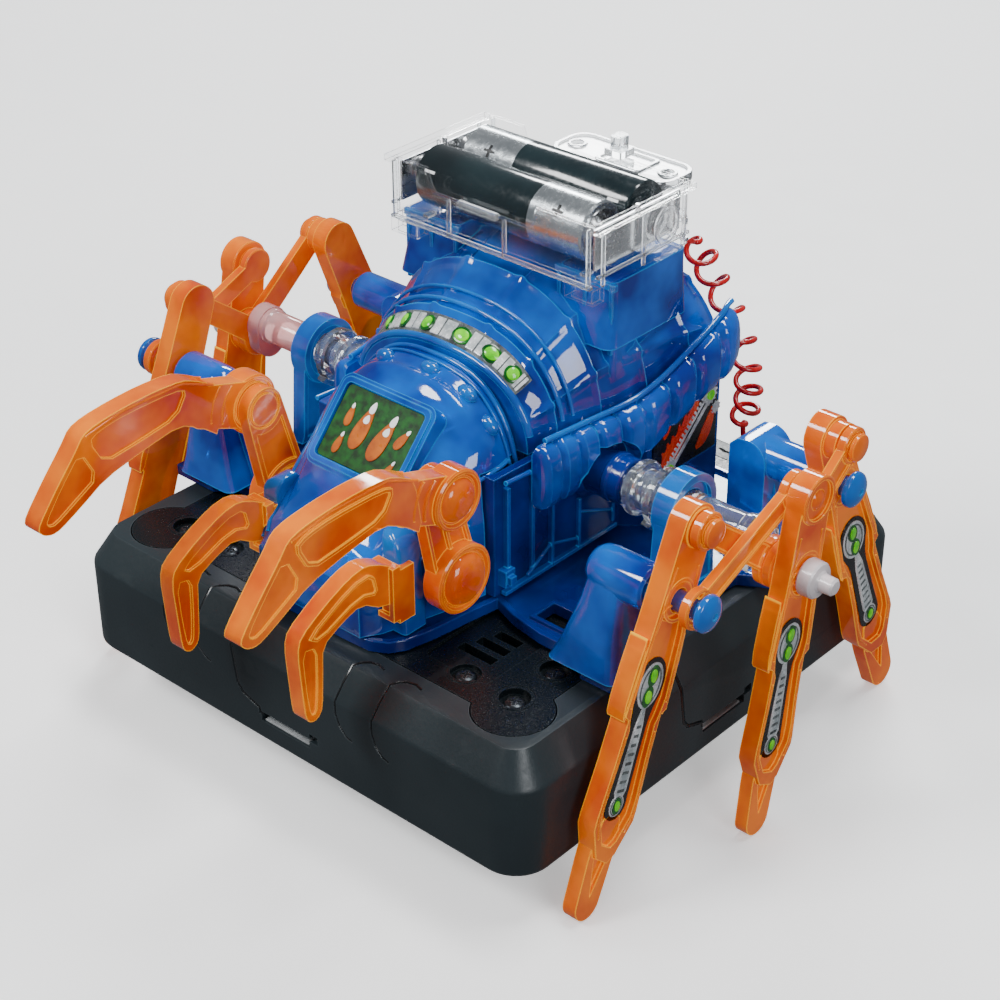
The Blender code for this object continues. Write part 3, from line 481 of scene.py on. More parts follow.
# Painted light on the blue plastics: a cyan highlight colour along their edges and a painted glow, stronger
# on the edges.
BLUE = finish_of("blue_translucent", (0.0, 0.022, 0.32), (0.0, 0.19, 0.84), (0.03, 0.09), 60.0, 420.0, 0.05,
                 edge=(0.02, 0.50, 1.0), edge_share=0.7, transmission=0.35, coat=0.8, scratches=0.05,
                 glow=0.02, edge_glow=0.20)
BLUE_DEEP = finish_of("blue_deep", (0.0, 0.010, 0.17), (0.0, 0.045, 0.38), (0.08, 0.18), 60.0, 420.0, 0.05,
                      edge=(0.005, 0.30, 0.90), edge_share=0.6, transmission=0.30, coat=0.35, scratches=0.05,
                      glow=0.02, edge_glow=0.16)
BLUE_BRIGHT = finish_of("blue_bright", (0.0, 0.08, 0.46), (0.0, 0.24, 0.80), (0.05, 0.12), 60.0, 420.0, 0.05,
                        edge=(0.03, 0.55, 1.0), edge_share=0.65, transmission=0.3, coat=0.7, glow=0.02,
                        edge_glow=0.22)
# Painted light on the orange plastic: a yellow highlight colour along its edges and a painted glow, much
# stronger on the edges.
ORANGE = finish_of("orange_translucent", (0.68, 0.075, 0.0), (1.0, 0.24, 0.0), (0.05, 0.13), 70.0, 500.0,
                   0.05, edge=(1.0, 0.52, 0.01), edge_share=1.0, transmission=0.22, coat=0.30, scratches=0.05,
                   glow=0.13, edge_glow=0.55)
CLEAR = finish_of("clear_plastic", (0.86, 0.92, 0.95), (0.97, 0.985, 1.0), (0.01, 0.05), 30.0, 500.0, 0.03,
                  transmission=0.94, ior=1.47, coat=0.3)
# Painted highlights: the clear sheet's edges are painted white and nearly solid, and its faces are nearly
# clear.
CLEAR_THIN = finish_of("clear_sheet", (0.86, 0.92, 0.95), (0.97, 0.985, 1.0), (0.01, 0.05), 30.0, 500.0, 0.03,
                       edge=(0.98, 0.99, 1.0), edge_share=1.0, painted_edge_reach=0.0005, transmission=0.9, ior=1.47,
                       coat=0.3, see_through=0.95)
CLEAR_PINK = finish_of("clear_pinkish", (0.90, 0.42, 0.40), (0.97, 0.68, 0.66), (0.06, 0.14), 60.0, 500.0,
                       0.04, transmission=0.6, ior=1.47, coat=0.4)
FROST = finish_of("white_plastic", (0.66, 0.58, 0.60), (0.82, 0.76, 0.77), (0.18, 0.32), 60.0, 700.0, 0.06,
                  coat=0.3)
GEAR_WHITE = finish_of("gear_white", (0.62, 0.62, 0.60), (0.82, 0.82, 0.80), (0.25, 0.4), 60.0, 700.0, 0.06)
BATTERY_BLACK = finish_of("battery_black", (0.003, 0.008, 0.010), (0.009, 0.022, 0.026), (0.12, 0.24), 50.0,
                          900.0, 0.04, coat=0.6, scratches=0.12)
BATTERY_SILVER = finish_of("battery_silver", (0.36, 0.40, 0.43), (0.66, 0.70, 0.72), (0.16, 0.30), 50.0,
                           900.0, 0.04, metallic=0.9, coat=0.3, scratches=0.12)
METAL = finish_of("plated_steel", (0.56, 0.57, 0.58), (0.80, 0.81, 0.82), (0.14, 0.30), 90.0, 900.0, 0.06,
                  metallic=1.0, scratches=0.15)
# Painted highlight: the screws are lighter along their edges.
DARK_METAL = finish_of("blackened_screw", (0.02, 0.025, 0.03), (0.06, 0.07, 0.08), (0.2, 0.38), 120.0, 900.0,
                       0.08, metallic=0.8, edge=(0.3, 0.32, 0.35), edge_share=0.5)
RED_WIRE = finish_of("red_wire", (0.42, 0.002, 0.004), (0.72, 0.008, 0.010), (0.16, 0.30), 150.0, 900.0, 0.06,
                     coat=0.4)
LABEL_BLACK = finish_of("label_black", (0.003, 0.004, 0.005), (0.010, 0.011, 0.013), (0.22, 0.36), 60.0,
                        1200.0, 0.04, coat=0.15)
LABEL_SILVER = finish_of("label_silver", (0.40, 0.45, 0.47), (0.94, 0.96, 0.97), (0.18, 0.32), 320.0, 1200.0,
                         0.04, metallic=0.30, coat=0.3, stretch=(1.0, 1.0, 0.35))
LABEL_GREY = finish_of("label_grey", (0.045, 0.055, 0.058), (0.20, 0.23, 0.23), (0.2, 0.34), 260.0, 1200.0,
                       0.04, metallic=0.3, coat=0.3)
LABEL_GREEN = finish_of("label_green", (0.0, 0.022, 0.001), (0.002, 0.105, 0.006), (0.3, 0.45), 520.0, 1300.0,
                        0.05, specular=0.2)
LIP_GREY = finish_of("latch_grey", (0.34, 0.36, 0.37), (0.52, 0.54, 0.55), (0.3, 0.45), 120.0, 900.0, 0.05)
LABEL_RED = finish_of("label_flame", (0.72, 0.012, 0.0), (0.95, 0.085, 0.002), (0.2, 0.34), 120.0, 1200.0,
                      0.04, coat=0.2)
LABEL_ORANGE = finish_of("label_drop", (0.36, 0.060, 0.0), (0.62, 0.150, 0.0), (0.25, 0.4), 260.0, 1200.0,
                         0.04, edge=(0.34, 0.04, 0.0), edge_share=0.7, specular=0.2)
# Painted light: glow makes the white marks give off light.
LABEL_WHITE = finish_of("label_white", (0.84, 0.86, 0.86), (0.97, 0.97, 0.96), (0.2, 0.34), 160.0, 1200.0,
                        0.04, glow=0.2)
# Painted light: glow makes the lime dots give off light.
LIME = finish_of("lime_dot", (0.05, 0.50, 0.0), (0.22, 0.85, 0.0), (0.14, 0.26), 300.0, 1200.0, 0.04,
                 coat=0.5, glow=0.2)
LIME_RING = finish_of("green_ring", (0.0, 0.06, 0.004), (0.004, 0.16, 0.01), (0.14, 0.26), 300.0, 1200.0,
                      0.04, coat=0.4)


# ---------------------------------------------------------------- base box

BASE_HALF = 70.0
BASE_HEIGHT = 30.0
CHAMFER_IN = 4.9
CHAMFER_DOWN = 7.5
CORNER = 9.0
COVER_HALF = 58.0
COVER_LOBE = (54.2, 9.0)                    # centre (x and y) and radius of the cover's round corner lobes
COVER_BOTTOM = 27.1
SLOT_HALF = 7.8
SLOT_Z = (5.2, 7.8)
FINGER_SEAMS = (-38.5, -28.0, 17.5, 28.5)   # x of the curved latch seams on the front
HOLE_PLACES = ((51.7, 50.8), (-51.7, 50.8), (51.6, 37.5), (-51.6, 37.5), (51.7, -50.8), (-51.7, -50.8),
               (51.6, -37.5), (-51.6, -37.5), (37.5, -50.6), (-37.5, -50.6))
HOLE_RADIUS = 3.5
# the seam from the chamfer's upper edge down to the latch slot, as it lies on the front
SEAM_PATH = ((-16.6, -65.0, 30.2), (-16.6, -70.0, 22.5), (-16.2, -70.0, 20.0), (-15.0, -70.0, 12.2),
             (-13.6, -70.0, 10.4), (-8.4, -70.0, 8.6), (-7.9, -70.0, 7.0))


def square_block(levels):
    """A block of rounded squares, each given by its half width, corner radius and height."""
    return loft([[(x, y, z) for x, y in rounded_rectangle(half, half, radius, 10)] for half, radius,
                 z in levels])


def cover_outline(grow=0.0):
    """A square with a round lobe bulging out of each corner."""
    half = COVER_HALF + grow
    centre, radius = COVER_LOBE
    radius += grow
    reach = math.degrees(math.acos((half - centre) / radius))
    points = []
    for quarter in range(4):
        middle = 45 + 90 * quarter
        spread = 45 + reach - 0.5
        cx = centre * (1 if quarter in (0, 3) else -1)
        cy = centre * (1 if quarter < 2 else -1)
        points += arc((cx, cy), radius, middle - spread, middle + spread, 20)
    return points


def turned_about(points, quarter):
    """Turn points a number of quarter turns about Z."""
    for _ in range(quarter):
        points = [(-y, x, z) for x, y, z in points]
    return points


def finger_path(x):
    """A latch seam: a hook on the top rim, a line down the chamfer and a hook on the wall."""
    return [(x + 6.6, -62.0, 30.1), (x + 4.6, -61.4, 30.1), (x + 2.4, -62.0, 30.1), (x + 0.9, -63.4, 30.1),
            (x + 0.1, -65.1, 30.0), (x - 0.6, -67.6, 26.3), (x - 1.0, -70.0, 22.5), (x - 0.9, -70.0, 19.2),
            (x + 0.2, -70.0, 16.4), (x + 2.2, -70.0, 14.4), (x + 4.0, -70.0, 13.9)]


def base_shell():
    shoulder = BASE_HEIGHT - CHAMFER_DOWN
    top = BASE_HALF - CHAMFER_IN
    shell = square_block((
        (BASE_HALF - 0.8, CORNER - 0.8, 0), (BASE_HALF - 0.25, CORNER - 0.25, 0.3), (BASE_HALF, CORNER, 0.9),
        (BASE_HALF, CORNER, shoulder - 0.6), (BASE_HALF - 0.15, CORNER - 0.1, shoulder),
        (BASE_HALF - 0.5, CORNER - 0.35, shoulder + 0.55), (top + 0.45, 5.4, BASE_HEIGHT - 0.6),
        (top + 0.1, 5.1, BASE_HEIGHT - 0.15), (top - 0.4, 4.8, BASE_HEIGHT)))
    cavity = square_block(((67.6, 7.0, 2.4), (67.6, 7.0, shoulder - 2), (55.5, 5.0, 25.3), (55.5, 5.0, 31)))
    cut(shell, cavity, prism(cover_outline(0.3), 26.8, 31, "Z"))
    for quarter in range(4):
        slot = box((-SLOT_HALF, SLOT_HALF), (-72, -65), SLOT_Z)
        notch = box((SLOT_HALF - 0.1, SLOT_HALF + 2.6), (-72, -68.6), (7.0, 9.2))
        turn = Matrix.Rotation(math.pi / 2 * quarter, 4, "Z")
        for tool in (slot, notch):
            tool.data.transform(turn)
            cut(shell, tool)
        cut(shell, tube(turned_about(SEAM_PATH, quarter), 0.62, 6))
        if quarter % 2 == 0:
            for x in FINGER_SEAMS:
                cut(shell, tube(turned_about(finger_path(x), quarter), 0.36, 6))
    finish_piece(shell, "base_box", SLATE, "chassis", "slate_plastic", ("base_shell",), angle=20)


def base_seam_shade():
    """Painted shade: black tubes at the bottoms of the seam grooves, a little below the wall's surface; the
    grooves themselves are cut in the box.
    """
    lines = []
    for quarter in range(4):
        path = turned_about(SEAM_PATH, quarter)
        lines.append(tube([(x * 0.9914, y * 0.9914, z - 0.35) for x, y, z in path], 0.52, 6))
        if quarter % 2 == 0:
            for x in FINGER_SEAMS:
                path = turned_about(finger_path(x), quarter)
                lines.append(tube([(x * 0.9948, y * 0.9948, z - 0.2) for x, y, z in path], 0.30, 6))
    finish_piece(gather(*lines), "base_seam_shade", LABEL_BLACK, "chassis", "slate_plastic", angle=50)


def slot_lining():
    """Pale lip just inside each latch slot."""
    lips = []
    for quarter in range(4):
        lip = join(box((-SLOT_HALF + 0.6, SLOT_HALF - 0.8), (-69.4, -66.2), (5.0, 5.6)),
                   box((-SLOT_HALF + 0.6, SLOT_HALF - 0.8), (-67.0, -66.2), (5.0, 9.0)))
        lip.data.transform(Matrix.Rotation(math.pi / 2 * quarter, 4, "Z"))
        lips.append(lip)
    finish_piece(gather(*lips), "slot_lips", LIP_GREY, "chassis", "slate_plastic", bevel=0.12)


def base_cover():
    cover = prism(cover_outline(), COVER_BOTTOM, BASE_HEIGHT, "Z")
    for place in HOLE_PLACES:
        cut(cover, disc(place, HOLE_RADIUS, 28.3, 31, "Z", 36), disc(place, 1.4, 26, 31, "Z", 20))
    for side in (-1, 1):
        for row in range(3):
            y = -43.5 + 4.2 * row
            cut(cover, side_box(side, (29.5 + 1.6 * row, 39.5), (y - 1.3, y + 1.3), (26, 31)))
        cut(cover, prism(rounded_rectangle(9.0, 13.5, 2.0, 6, (side * 35.0, -38.2)), 29.4, 31, "Z"))
    for place in HOLE_PLACES:
        cut(cover, ring(place, 4.58, 4.22, 29.8, 31, "Z", 36))
    finish_piece(cover, "base_lid", SLATE_TOP, "chassis", "slate_plastic", ("base_cover",), bevel=0.22)


def cross_screw(place, z, radius=2.4, axis="Z"):
    """A pan-head screw with a cross recess."""
    head = domed(place, radius, z, 0.95, axis, 5, 0.25)
    for angle in (25, 115):
        blade = box((-radius * 0.62, radius * 0.62), (-0.3, 0.3), (z + 0.45, z + 2))
        blade.data.transform(Matrix.Rotation(math.radians(angle), 4, "Z"))
        blade.data.transform(Matrix.Translation((place[0] * MM, place[1] * MM, 0)))
        cut(head, blade)
    return head


def base_screws():
    screws = [cross_screw(place, 28.35) for place in HOLE_PLACES]
    finish_piece(gather(*screws), "base_screws", DARK_METAL, "chassis", "slate_plastic", bevel=0.07)


# ---------------------------------------------------------------- deck and posts

DECK_Z = (30.3, 33.3)
DECK_HALF = ((0, -60), (9, -60), (17, -59.6), (21, -57.4), (23.2, -54), (25, -46), (26, -38), (27.4, -29),
             (34, -31.4), (43, -33), (55, -33), (56.4, -35.4), (58, -37), (71, -37), (71, -19), (66, -16.6),
             (61.6, -14), (61, -8), (61, 8), (61.6, 14), (66, 16.6), (71, 19), (71, 39), (57, 42.6),
             (45, 45.5), (38, 48.6), (33, 50), (0, 50))


def both_sides(outline):
    """A right-hand outline that starts and ends on the middle line, closed by its mirror image."""
    return list(outline) + [(-x, y) for x, y in reversed(outline[1:-1])]


def deck():
    outline = both_sides(DECK_HALF)
    rim = slab(outline, DECK_Z[1], 1.0, 1.6, axis="Z")
    plate = join(prism(outline, DECK_Z[0], DECK_Z[1] - 0.9, "Z"), rim)
    for side in (-1, 1):
        window = ((38, 48), (-28, -22), (29, 35))
        cut(plate, side_box(side, *window))
        edge = side_box(side, (36.8, 49.2), (-29.2, -20.8), (DECK_Z[1] - 1.2, DECK_Z[1]))
        join(plate, cut(edge, side_box(side, *window)))
    finish_piece(plate, "deck_plate", BLUE_DEEP, "chassis", "blue_plastic", ("chassis_deck",), bevel=0.35,
                 segments=3)


LEG_PIVOT_Y = 30.0
LEG_PIVOT_Z = 56.0
POST_OUT = 72.5
LEG_LAYER = (73.2, 78.0)
INNER_LINK = (78.6, 80.9)
OUTER_LINK = (81.2, 83.4)
MID_LAYER = (84.0, 88.5)
STAND_Z = 33.6                              # underside of what stands on the deck
CRANK = (0.0, 56.0)
CRANK_PIN = (0.0, 52.0)
SHAFT_RADIUS = 3.2


def front_post():
    """A hood that flares down to the deck, and the round arm through its top that carries the leg pin."""
    pivot = (-LEG_PIVOT_Y, LEG_PIVOT_Z)
    rings = []
    for z, inner, outer, half in ((33.6, 49.6, 68.4, 8.9), (34.6, 50.2, 68.0, 8.6), (38.0, 51.6, 67.4, 7.9),
                                  (44.0, 53.8, 66.8, 6.9), (50.0, 55.8, 66.4, 5.9), (54.5, 56.8, 66.2, 5.3),
                                  (57.0, 57.4, 66.0, 5.0)):
        outline = rounded_rectangle((outer - inner) / 2, half, 2.4, 6, ((outer + inner) / 2, pivot[0]))
        rings.append([(x, y, z) for x, y in outline])
    arm = turned(((0, 55.4), (2.2, 55.6), (4.0, 56.5), (5.0, 58.0), (5.3, 60.0), (5.3, 71.2), (4.8, 71.9),
                  (3.6, 71.9), (3.6, POST_OUT + 0.2), (0, POST_OUT + 0.2)), pivot, "X", 48)
    rib = prism([(54.4, 33.8), (50.4, 33.8), (48.8, 35.0), (56.0, 55.4), (58.0, 55.4)], pivot[0] - 0.6,
                pivot[0] + 0.6, "Y")
    return join(loft(rings), arm, rib, leg_pin(pivot, OUTER_LINK[1]))


def leg_pin(pivot, end):
    """The pin a leg turns on."""
    return turned(((0, 71.5), (2.4, 71.5), (2.4, end), (1.9, end + 0.3), (0, end + 0.3)), pivot)


def rear_post():
    pivot = (LEG_PIVOT_Y, LEG_PIVOT_Z)
    upright = [(50.0, 34.4), (60.0, 34.4), (60.0, 56.0)] + arc((55.0, 56.0), 5.0, 0, 90, 12)
    upright += [(52.2, 60.6), (50.0, 58.6)]
    post = prism(upright, LEG_PIVOT_Y - 5.2, LEG_PIVOT_Y + 5.2, "Y")
    arm = turned(((0, 54.0), (4.0, 54.0), (4.8, 55.2), (4.8, 70.9), (4.2, 71.8), (3.4, 71.8), (3.4, 72.5),
                  (0, 72.5)), pivot)
    join(post, arm, leg_pin(pivot, INNER_LINK[0]))
    foot = prism(rounded_rectangle(6.2, 7.0, 1.6, 5, (55.0, LEG_PIVOT_Y)), STAND_Z, 35.2, "Z")
    web = prism([(58.6, 34.2), (63.4, 34.2), (60.0, 50.0), (58.6, 50.0)], LEG_PIVOT_Y - 1.0,
                LEG_PIVOT_Y + 1.0, "Y")
    return join(post, foot, web)


def crank_post():
    foot = [(8.3, 52.0), (9.5, 35.4), (10.4, STAND_Z)]
    outline = arc(CRANK, 8.0, 184, -4, 30) + foot + [(-y, z) for y, z in reversed(foot)]
    post = prism(outline, 54.6, 57.8)
    join(post, slab(outline, 58.2, 4.0, 1.3), ring(CRANK, 8.4, 6.5, 53.6, 58.8, "X", 48))
    return cut(post, disc(CRANK, SHAFT_RADIUS + 1.4, 53, 60))


def crank_bush():
    """Clear bearing bush: flanges, a waist, three grooves and a hooked clip on its sleeve."""
    profile = ((3.45, 42.5), (5.0, 42.5), (5.3, 43.1), (6.4, 43.8), (6.6, 44.4), (6.6, 45.2), (6.2, 45.8),
               (5.0, 46.1), (4.8, 47.0), (5.0, 47.9), (5.0, 48.9), (6.4, 49.3), (6.8, 49.9), (6.8, 51.6),
               (6.3, 52.2), (4.9, 52.6), (4.4, 53.2), (4.3, 58.2), (3.45, 58.2))
    clip = prism(arc(CRANK, 7.9, 215, 330, 20) + arc(CRANK, 6.5, 330, 215, 20), 49.4, 51.8)
    return join(turned(profile + profile[:1], CRANK, "X", 44), clip)


def pivot_cap(place, low):
    """The blue push-on cap that holds a leg on its pin: a flange, a waist and a faceted dome."""
    profile = ((0, low), (3.2, low), (3.4, low + 0.3), (4.2, low + 0.7), (4.3, low + 1.2), (4.1, low + 1.9),
               (3.4, low + 2.5), (2.2, low + 3.0), (1.2, low + 3.2), (0, low + 3.25))
    cap = turned(profile, place)
    return cut(cap, disc(place, 0.8, low + 2.9, low + 4, "X", 20))


def posts():
    side_pair(front_post(), "front_saddle", BLUE, "chassis", "blue_plastic", ("front_post_{}",), bevel=0.7,
              segments=4)
    side_pair(rear_post(), "rear_strut", BLUE, "chassis", "blue_plastic", ("rear_post_{}",), bevel=0.7,
              segments=4)
    side_pair(crank_post(), "crank_bracket", BLUE_BRIGHT, "chassis", "blue_plastic", ("crank_post_{}",),
              bevel=0.3, segments=3)
    side_pair(crank_bush(), "crank_sleeve", CLEAR, "chassis", "clear_plastic", ("crank_bush_{}",), bevel=0.15)
    side_pair(pivot_cap((-LEG_PIVOT_Y, LEG_PIVOT_Z), 84.1), "front_button", BLUE_BRIGHT, "chassis",
              "blue_plastic", ("front_pivot_cap_{}",), bevel=0.12)
    side_pair(pivot_cap((LEG_PIVOT_Y, LEG_PIVOT_Z), 79.1), "rear_button", BLUE_BRIGHT, "chassis",
              "blue_plastic", ("rear_pivot_cap_{}",), bevel=0.12)


# ---------------------------------------------------------------- body shells

SEAM_Z = 64.0
ABDOMEN = ((-16.8, 25.5, 82.0), (-10.0, 27.5, 87.0), (0.0, 30.5, 94.0), (12.0, 34.0, 97.8),
           (25.0, 36.5, 98.3), (36.0, 36.8, 95.0), (44.0, 33.0, 88.0), (50.0, 26.5, 77.5))
HEAD = ((-17.2, 24.5, 81.0), (-24.0, 25.6, 79.6), (-31.5, 24.4, 75.6), (-40.0, 22.6, 68.5),
        (-48.0, 20.4, 60.5), (-56.0, 18.0, 51.5), (-60.5, 15.5, 46.0))
FLANK = ((-19.0, 28.8, 53.0, 68.0), (-5.0, 30.8, 54.5, 68.5), (8.0, 34.0, 56.0, 70.0),
         (16.0, 35.9, 61.0, 73.0), (26.0, 37.3, 65.5, 78.0), (36.0, 37.4, 68.0, 82.0),
         (41.5, 35.6, 69.5, 82.5))
GEARBOX_HALF = ((0, -29.5), (27, -29.5), (28.5, 12), (33.5, 16), (33.5, 43), (28, 48), (0, 48))
FACE_CENTRE = (0.0, -39.0, 69.0)
FACE_SLOPE = math.radians(48.0)
FACE_HALF = (11.7, 8.65)


def section_at(sections, y):
    """Every value of a body section at y, read off a smooth curve through the given sections."""
    order = sorted(sections)
    count = len(order)
    index = max(0, min(count - 2, sum(1 for row in order if row[0] <= y) - 1))
    before = order[max(index - 1, 0)]
    start = order[index]
    end = order[index + 1]
    after = order[min(index + 2, count - 1)]
    t = (y - start[0]) / (end[0] - start[0])
    return [curve_point(*column, t) for column in zip(before[1:], start[1:], end[1:], after[1:])]


def body_point(y, degrees, centre_z, power, half_width, top, lift=0.0):
    """A point of a body section: 0 degrees is its right side, 90 its top; lift moves it outwards."""
    cosine = math.cos(math.radians(degrees))
    sine = math.sin(math.radians(degrees))
    x = math.copysign(abs(cosine) ** (2 / power), cosine) * (half_width + lift)
    z = abs(sine) ** (2 / power) * (top - centre_z + lift)
    return Vector((x, y, centre_z + (z if sine >= 0 else -z)))


class Arch:
    """A body shell: sections along Y, each an arch above centre_z; power sets how square the arch is."""

    def __init__(self, sections, centre_z, power):
        self.sections = sections
        self.centre_z = centre_z
        self.power = power

    def inset(self, distance):
        return Arch([(y, x - distance, z - distance) for y, x, z in self.sections], self.centre_z, self.power)

    def point(self, y, degrees, lift=0.0, section_y=None, inset=0.0):
        """A point at y; section_y reads the section somewhere else along the body."""
        half_width, top = section_at(self.sections, y if section_y is None else section_y)
        return body_point(y, degrees, self.centre_z, self.power, half_width - inset, top - inset, lift)

    def hoop(self, y, lift, angles, section_y=None):
        return [self.point(y, degrees, lift, section_y) for degrees in angles]

    def ring(self, y, depth, columns, relief, section_y=None, inset=0.0):
        """One arch with straight sides that go down by depth."""
        arch = []
        for column in range(columns + 1):
            degrees = 180.0 * column / columns
            arch.append(self.point(y, degrees, relief(y, degrees), section_y, inset))
        return arch + [Vector((arch[side].x, y, self.centre_z - depth)) for side in (-1, 0)]

    def skin(self, depth, rows, columns, relief, y_range):
        """A closed body between two places along Y."""
        step = (y_range[1] - y_range[0]) / rows
        return loft([self.ring(y_range[0] + step * row, depth, columns, relief) for row in range(rows + 1)])


def bump_at(value, centre, width):
    """A smooth bump of height 1 at centre, 0 beyond width."""
    share = abs(value - centre) / width
    return 0.0 if share >= 1 else 0.5 * (1 + math.cos(math.pi * share))


DOME_FRONT = -16.8
DOME_REAR = 50.0
HEAD_REAR = -17.2
SNOUT_Y = -60.5
DOME_HOOPS = (-9.5, 1.5, 14.0, 27.5, 40.0)
DOME_CREASES = (22.0, 48.0, 76.0, 104.0, 132.0, 158.0)


def dome_relief(y, degrees):
    """Armour plates: each hoop steps up towards its rear edge, and creases run lengthwise between plates."""
    edges = (DOME_FRONT, *DOME_HOOPS, DOME_REAR)
    step = 0.0
    for low, high in zip(edges, edges[1:]):
        if low <= y < high:
            share = (y - low) / (high - low)
            step = 0.95 * share ** 1.6
    bow = 0.0
    wander = 3.5 * math.sin((y + 10) / 17.0)
    for crease in DOME_CREASES:
        tilt = crease + wander * (1 if crease < 90 else -1)
        bow += 0.75 * bump_at(degrees, tilt, 3.4)
    ridge = sum(0.55 * bump_at(y, hoop - 0.2, 1.2) for hoop in DOME_HOOPS)
    fade = min(1.0, max(0.0, (y + 16.0) / 5.0)) * min(1.0, max(0.0, (49.0 - y) / 4.0))
    low_fade = min(1.0, degrees / 10, (180 - degrees) / 10)
    return (step + bow + ridge - 0.55) * fade * max(0.0, low_fade)


def plain(_y, _degrees):
    return 0.0


DOME = Arch(ABDOMEN, SEAM_Z, 2.3)
COWL = Arch(HEAD, 44.0, 2.7)
TOWER = (23.0, 18.25)                       # x and y of the middle of each tower under the tray


def dome():
    shell = DOME.skin(6.0, 132, 110, dome_relief, (DOME_FRONT, DOME_REAR))
    cut(shell, DOME.inset(1.9).skin(9.0, 40, 36, plain, (-14.6, 47.8)))
    for side in (-1, 1):
        centre = (side * TOWER[0], TOWER[1])
        foot = []
        for grow, z in ((2.2, 84.0), (1.2, 88.5), (0.4, 92.5), (0.0, 96.0)):
            outline = rounded_rectangle(8.0 + grow * 0.35, 12.75 + grow * 0.7, 1.6 + grow * 0.5, 5, centre)
            foot.append([(x + side * grow * 0.2, y - grow * 0.5, z) for x, y in outline])
        join(shell, prism(rounded_rectangle(8.0, 12.75, 1.6, 5, centre), 68.0, 99.3, "Z"), loft(foot))
        cut(shell, prism(rounded_rectangle(6.1, 10.8, 1.0, 4, centre), 58.0, 97.3, "Z"))
    rear = [DOME.ring(y, 3.0, 48, lambda _y, _degrees, lift=-inset: lift, DOME_REAR)
            for y, inset in ((49.6, 0.0), (50.2, 0.5), (50.7, 1.6), (50.9, 3.0))]
    join(shell, loft(rear))
    cut(shell, box((-60, 60), (-40, 70), (30, SEAM_Z + 0.3)))
    finish_piece(shell, "dome_shell", BLUE, "chassis", "blue_plastic", ("abdomen_shell",), angle=38)


def tower_ribs():
    """Upright ribs on the outer corners of the two towers and a seat lip under the tray."""
    ribs = [box((x - 0.5, x + 0.5), (4.85, 5.6), (82.0, 98.9)) for x in (15.6, 23.0, 30.4)]
    lip = box((14.4, 31.6), (4.9, 6.0), (97.6, 99.2))
    finish_piece(both_halves(*ribs, lip), "tower_ribs", BLUE_BRIGHT, "chassis", "blue_plastic", bevel=0.15)


def dome_collar():
    """Raised collar where the dome meets the neck, and the hoop behind it."""
    hoops = [tube(DOME.hoop(y, lift, range(12, 169, 3)), radius, 10)
             for y, lift, radius in ((-16.2, 0.5, 0.9), (-8.2, 0.9, 0.55), (-5.6, 0.9, 0.40))]
    finish_piece(gather(*hoops), "dome_collar", BLUE_BRIGHT, "chassis", "blue_plastic", angle=50)


def gearbox():
    outline = both_sides(GEARBOX_HALF)
    walls = prism(outline, STAND_Z, SEAM_Z, "Z")
    inner = [(max(0.0, x - 2.0), y + math.copysign(2.0 * (abs(y) > 25), -y)) for x, y in GEARBOX_HALF]
    cut(walls, prism(both_sides(inner), 32, 66, "Z"))
    boss = turned(((7.4, 26.9), (7.4, 30.6), (6.6, 31.5), (5.6, 31.9), (5.6, 37.0), (6.0, 37.4), (6.0, 38.4),
                   (5.6, 38.8), (5.6, 41.5), (5.1, 42.0)), CRANK, "X", 48)
    join(walls, both_halves(boss))
    cut(walls, both_halves(disc(CRANK, SHAFT_RADIUS + 0.4, 20, 50, "X", 32)))
    for side in (-1, 1):
        cut(walls, side_box(side, (33.1, 34.5), (17.7, 42.3), (44.2, 62.8)))
    finish_piece(walls, "gearbox_walls", BLUE_DEEP, "chassis", "blue_plastic", ("gearbox_housing",),
                 bevel=0.45, segments=3)


def wall_ribs():
    """Upright ribs, braces and a sill on the gearbox walls, with two uprights and a clip near the front."""
    ribs = [box((27.4, 28.9), (-27.8, 11.4), (33.9, 34.9))]
    for y, low, high in ((-12.0, 34.0, 52.0), (-2.6, 34.0, 47.6), (9.6, 36.0, 48.0)):
        ribs.append(box((27.4, 28.9), (y, y + 0.8), (low, high)))
    for start, end in (((-12, 40), (-20, 35.5)), ((-12, 40), (-2.2, 37.0)), ((-2.2, 44), (10, 39))):
        ribs.append(tube([(28.3, *start), (28.3, *end)], 0.45, 8))
    for y in (-26.6, -18.4):
        ribs.append(box((26.6, 28.4), (y, y + 1.0), (36.0, 61.0)))
    ribs.append(join(box((26.8, 29.4), (-28.4, -25.2), (36.4, 40.6)),
                     box((28.2, 30.6), (-28.0, -26.0), (37.4, 39.4))))
    finish_piece(both_halves(*ribs), "wall_ribs", BLUE, "chassis", "blue_plastic", bevel=0.18)


def facing_rear(item):
    """Turn a piece built on the XY plane so that its top points to the rear."""
    item.data.transform(Matrix.Rotation(math.radians(-90), 4, "X"))
    return item


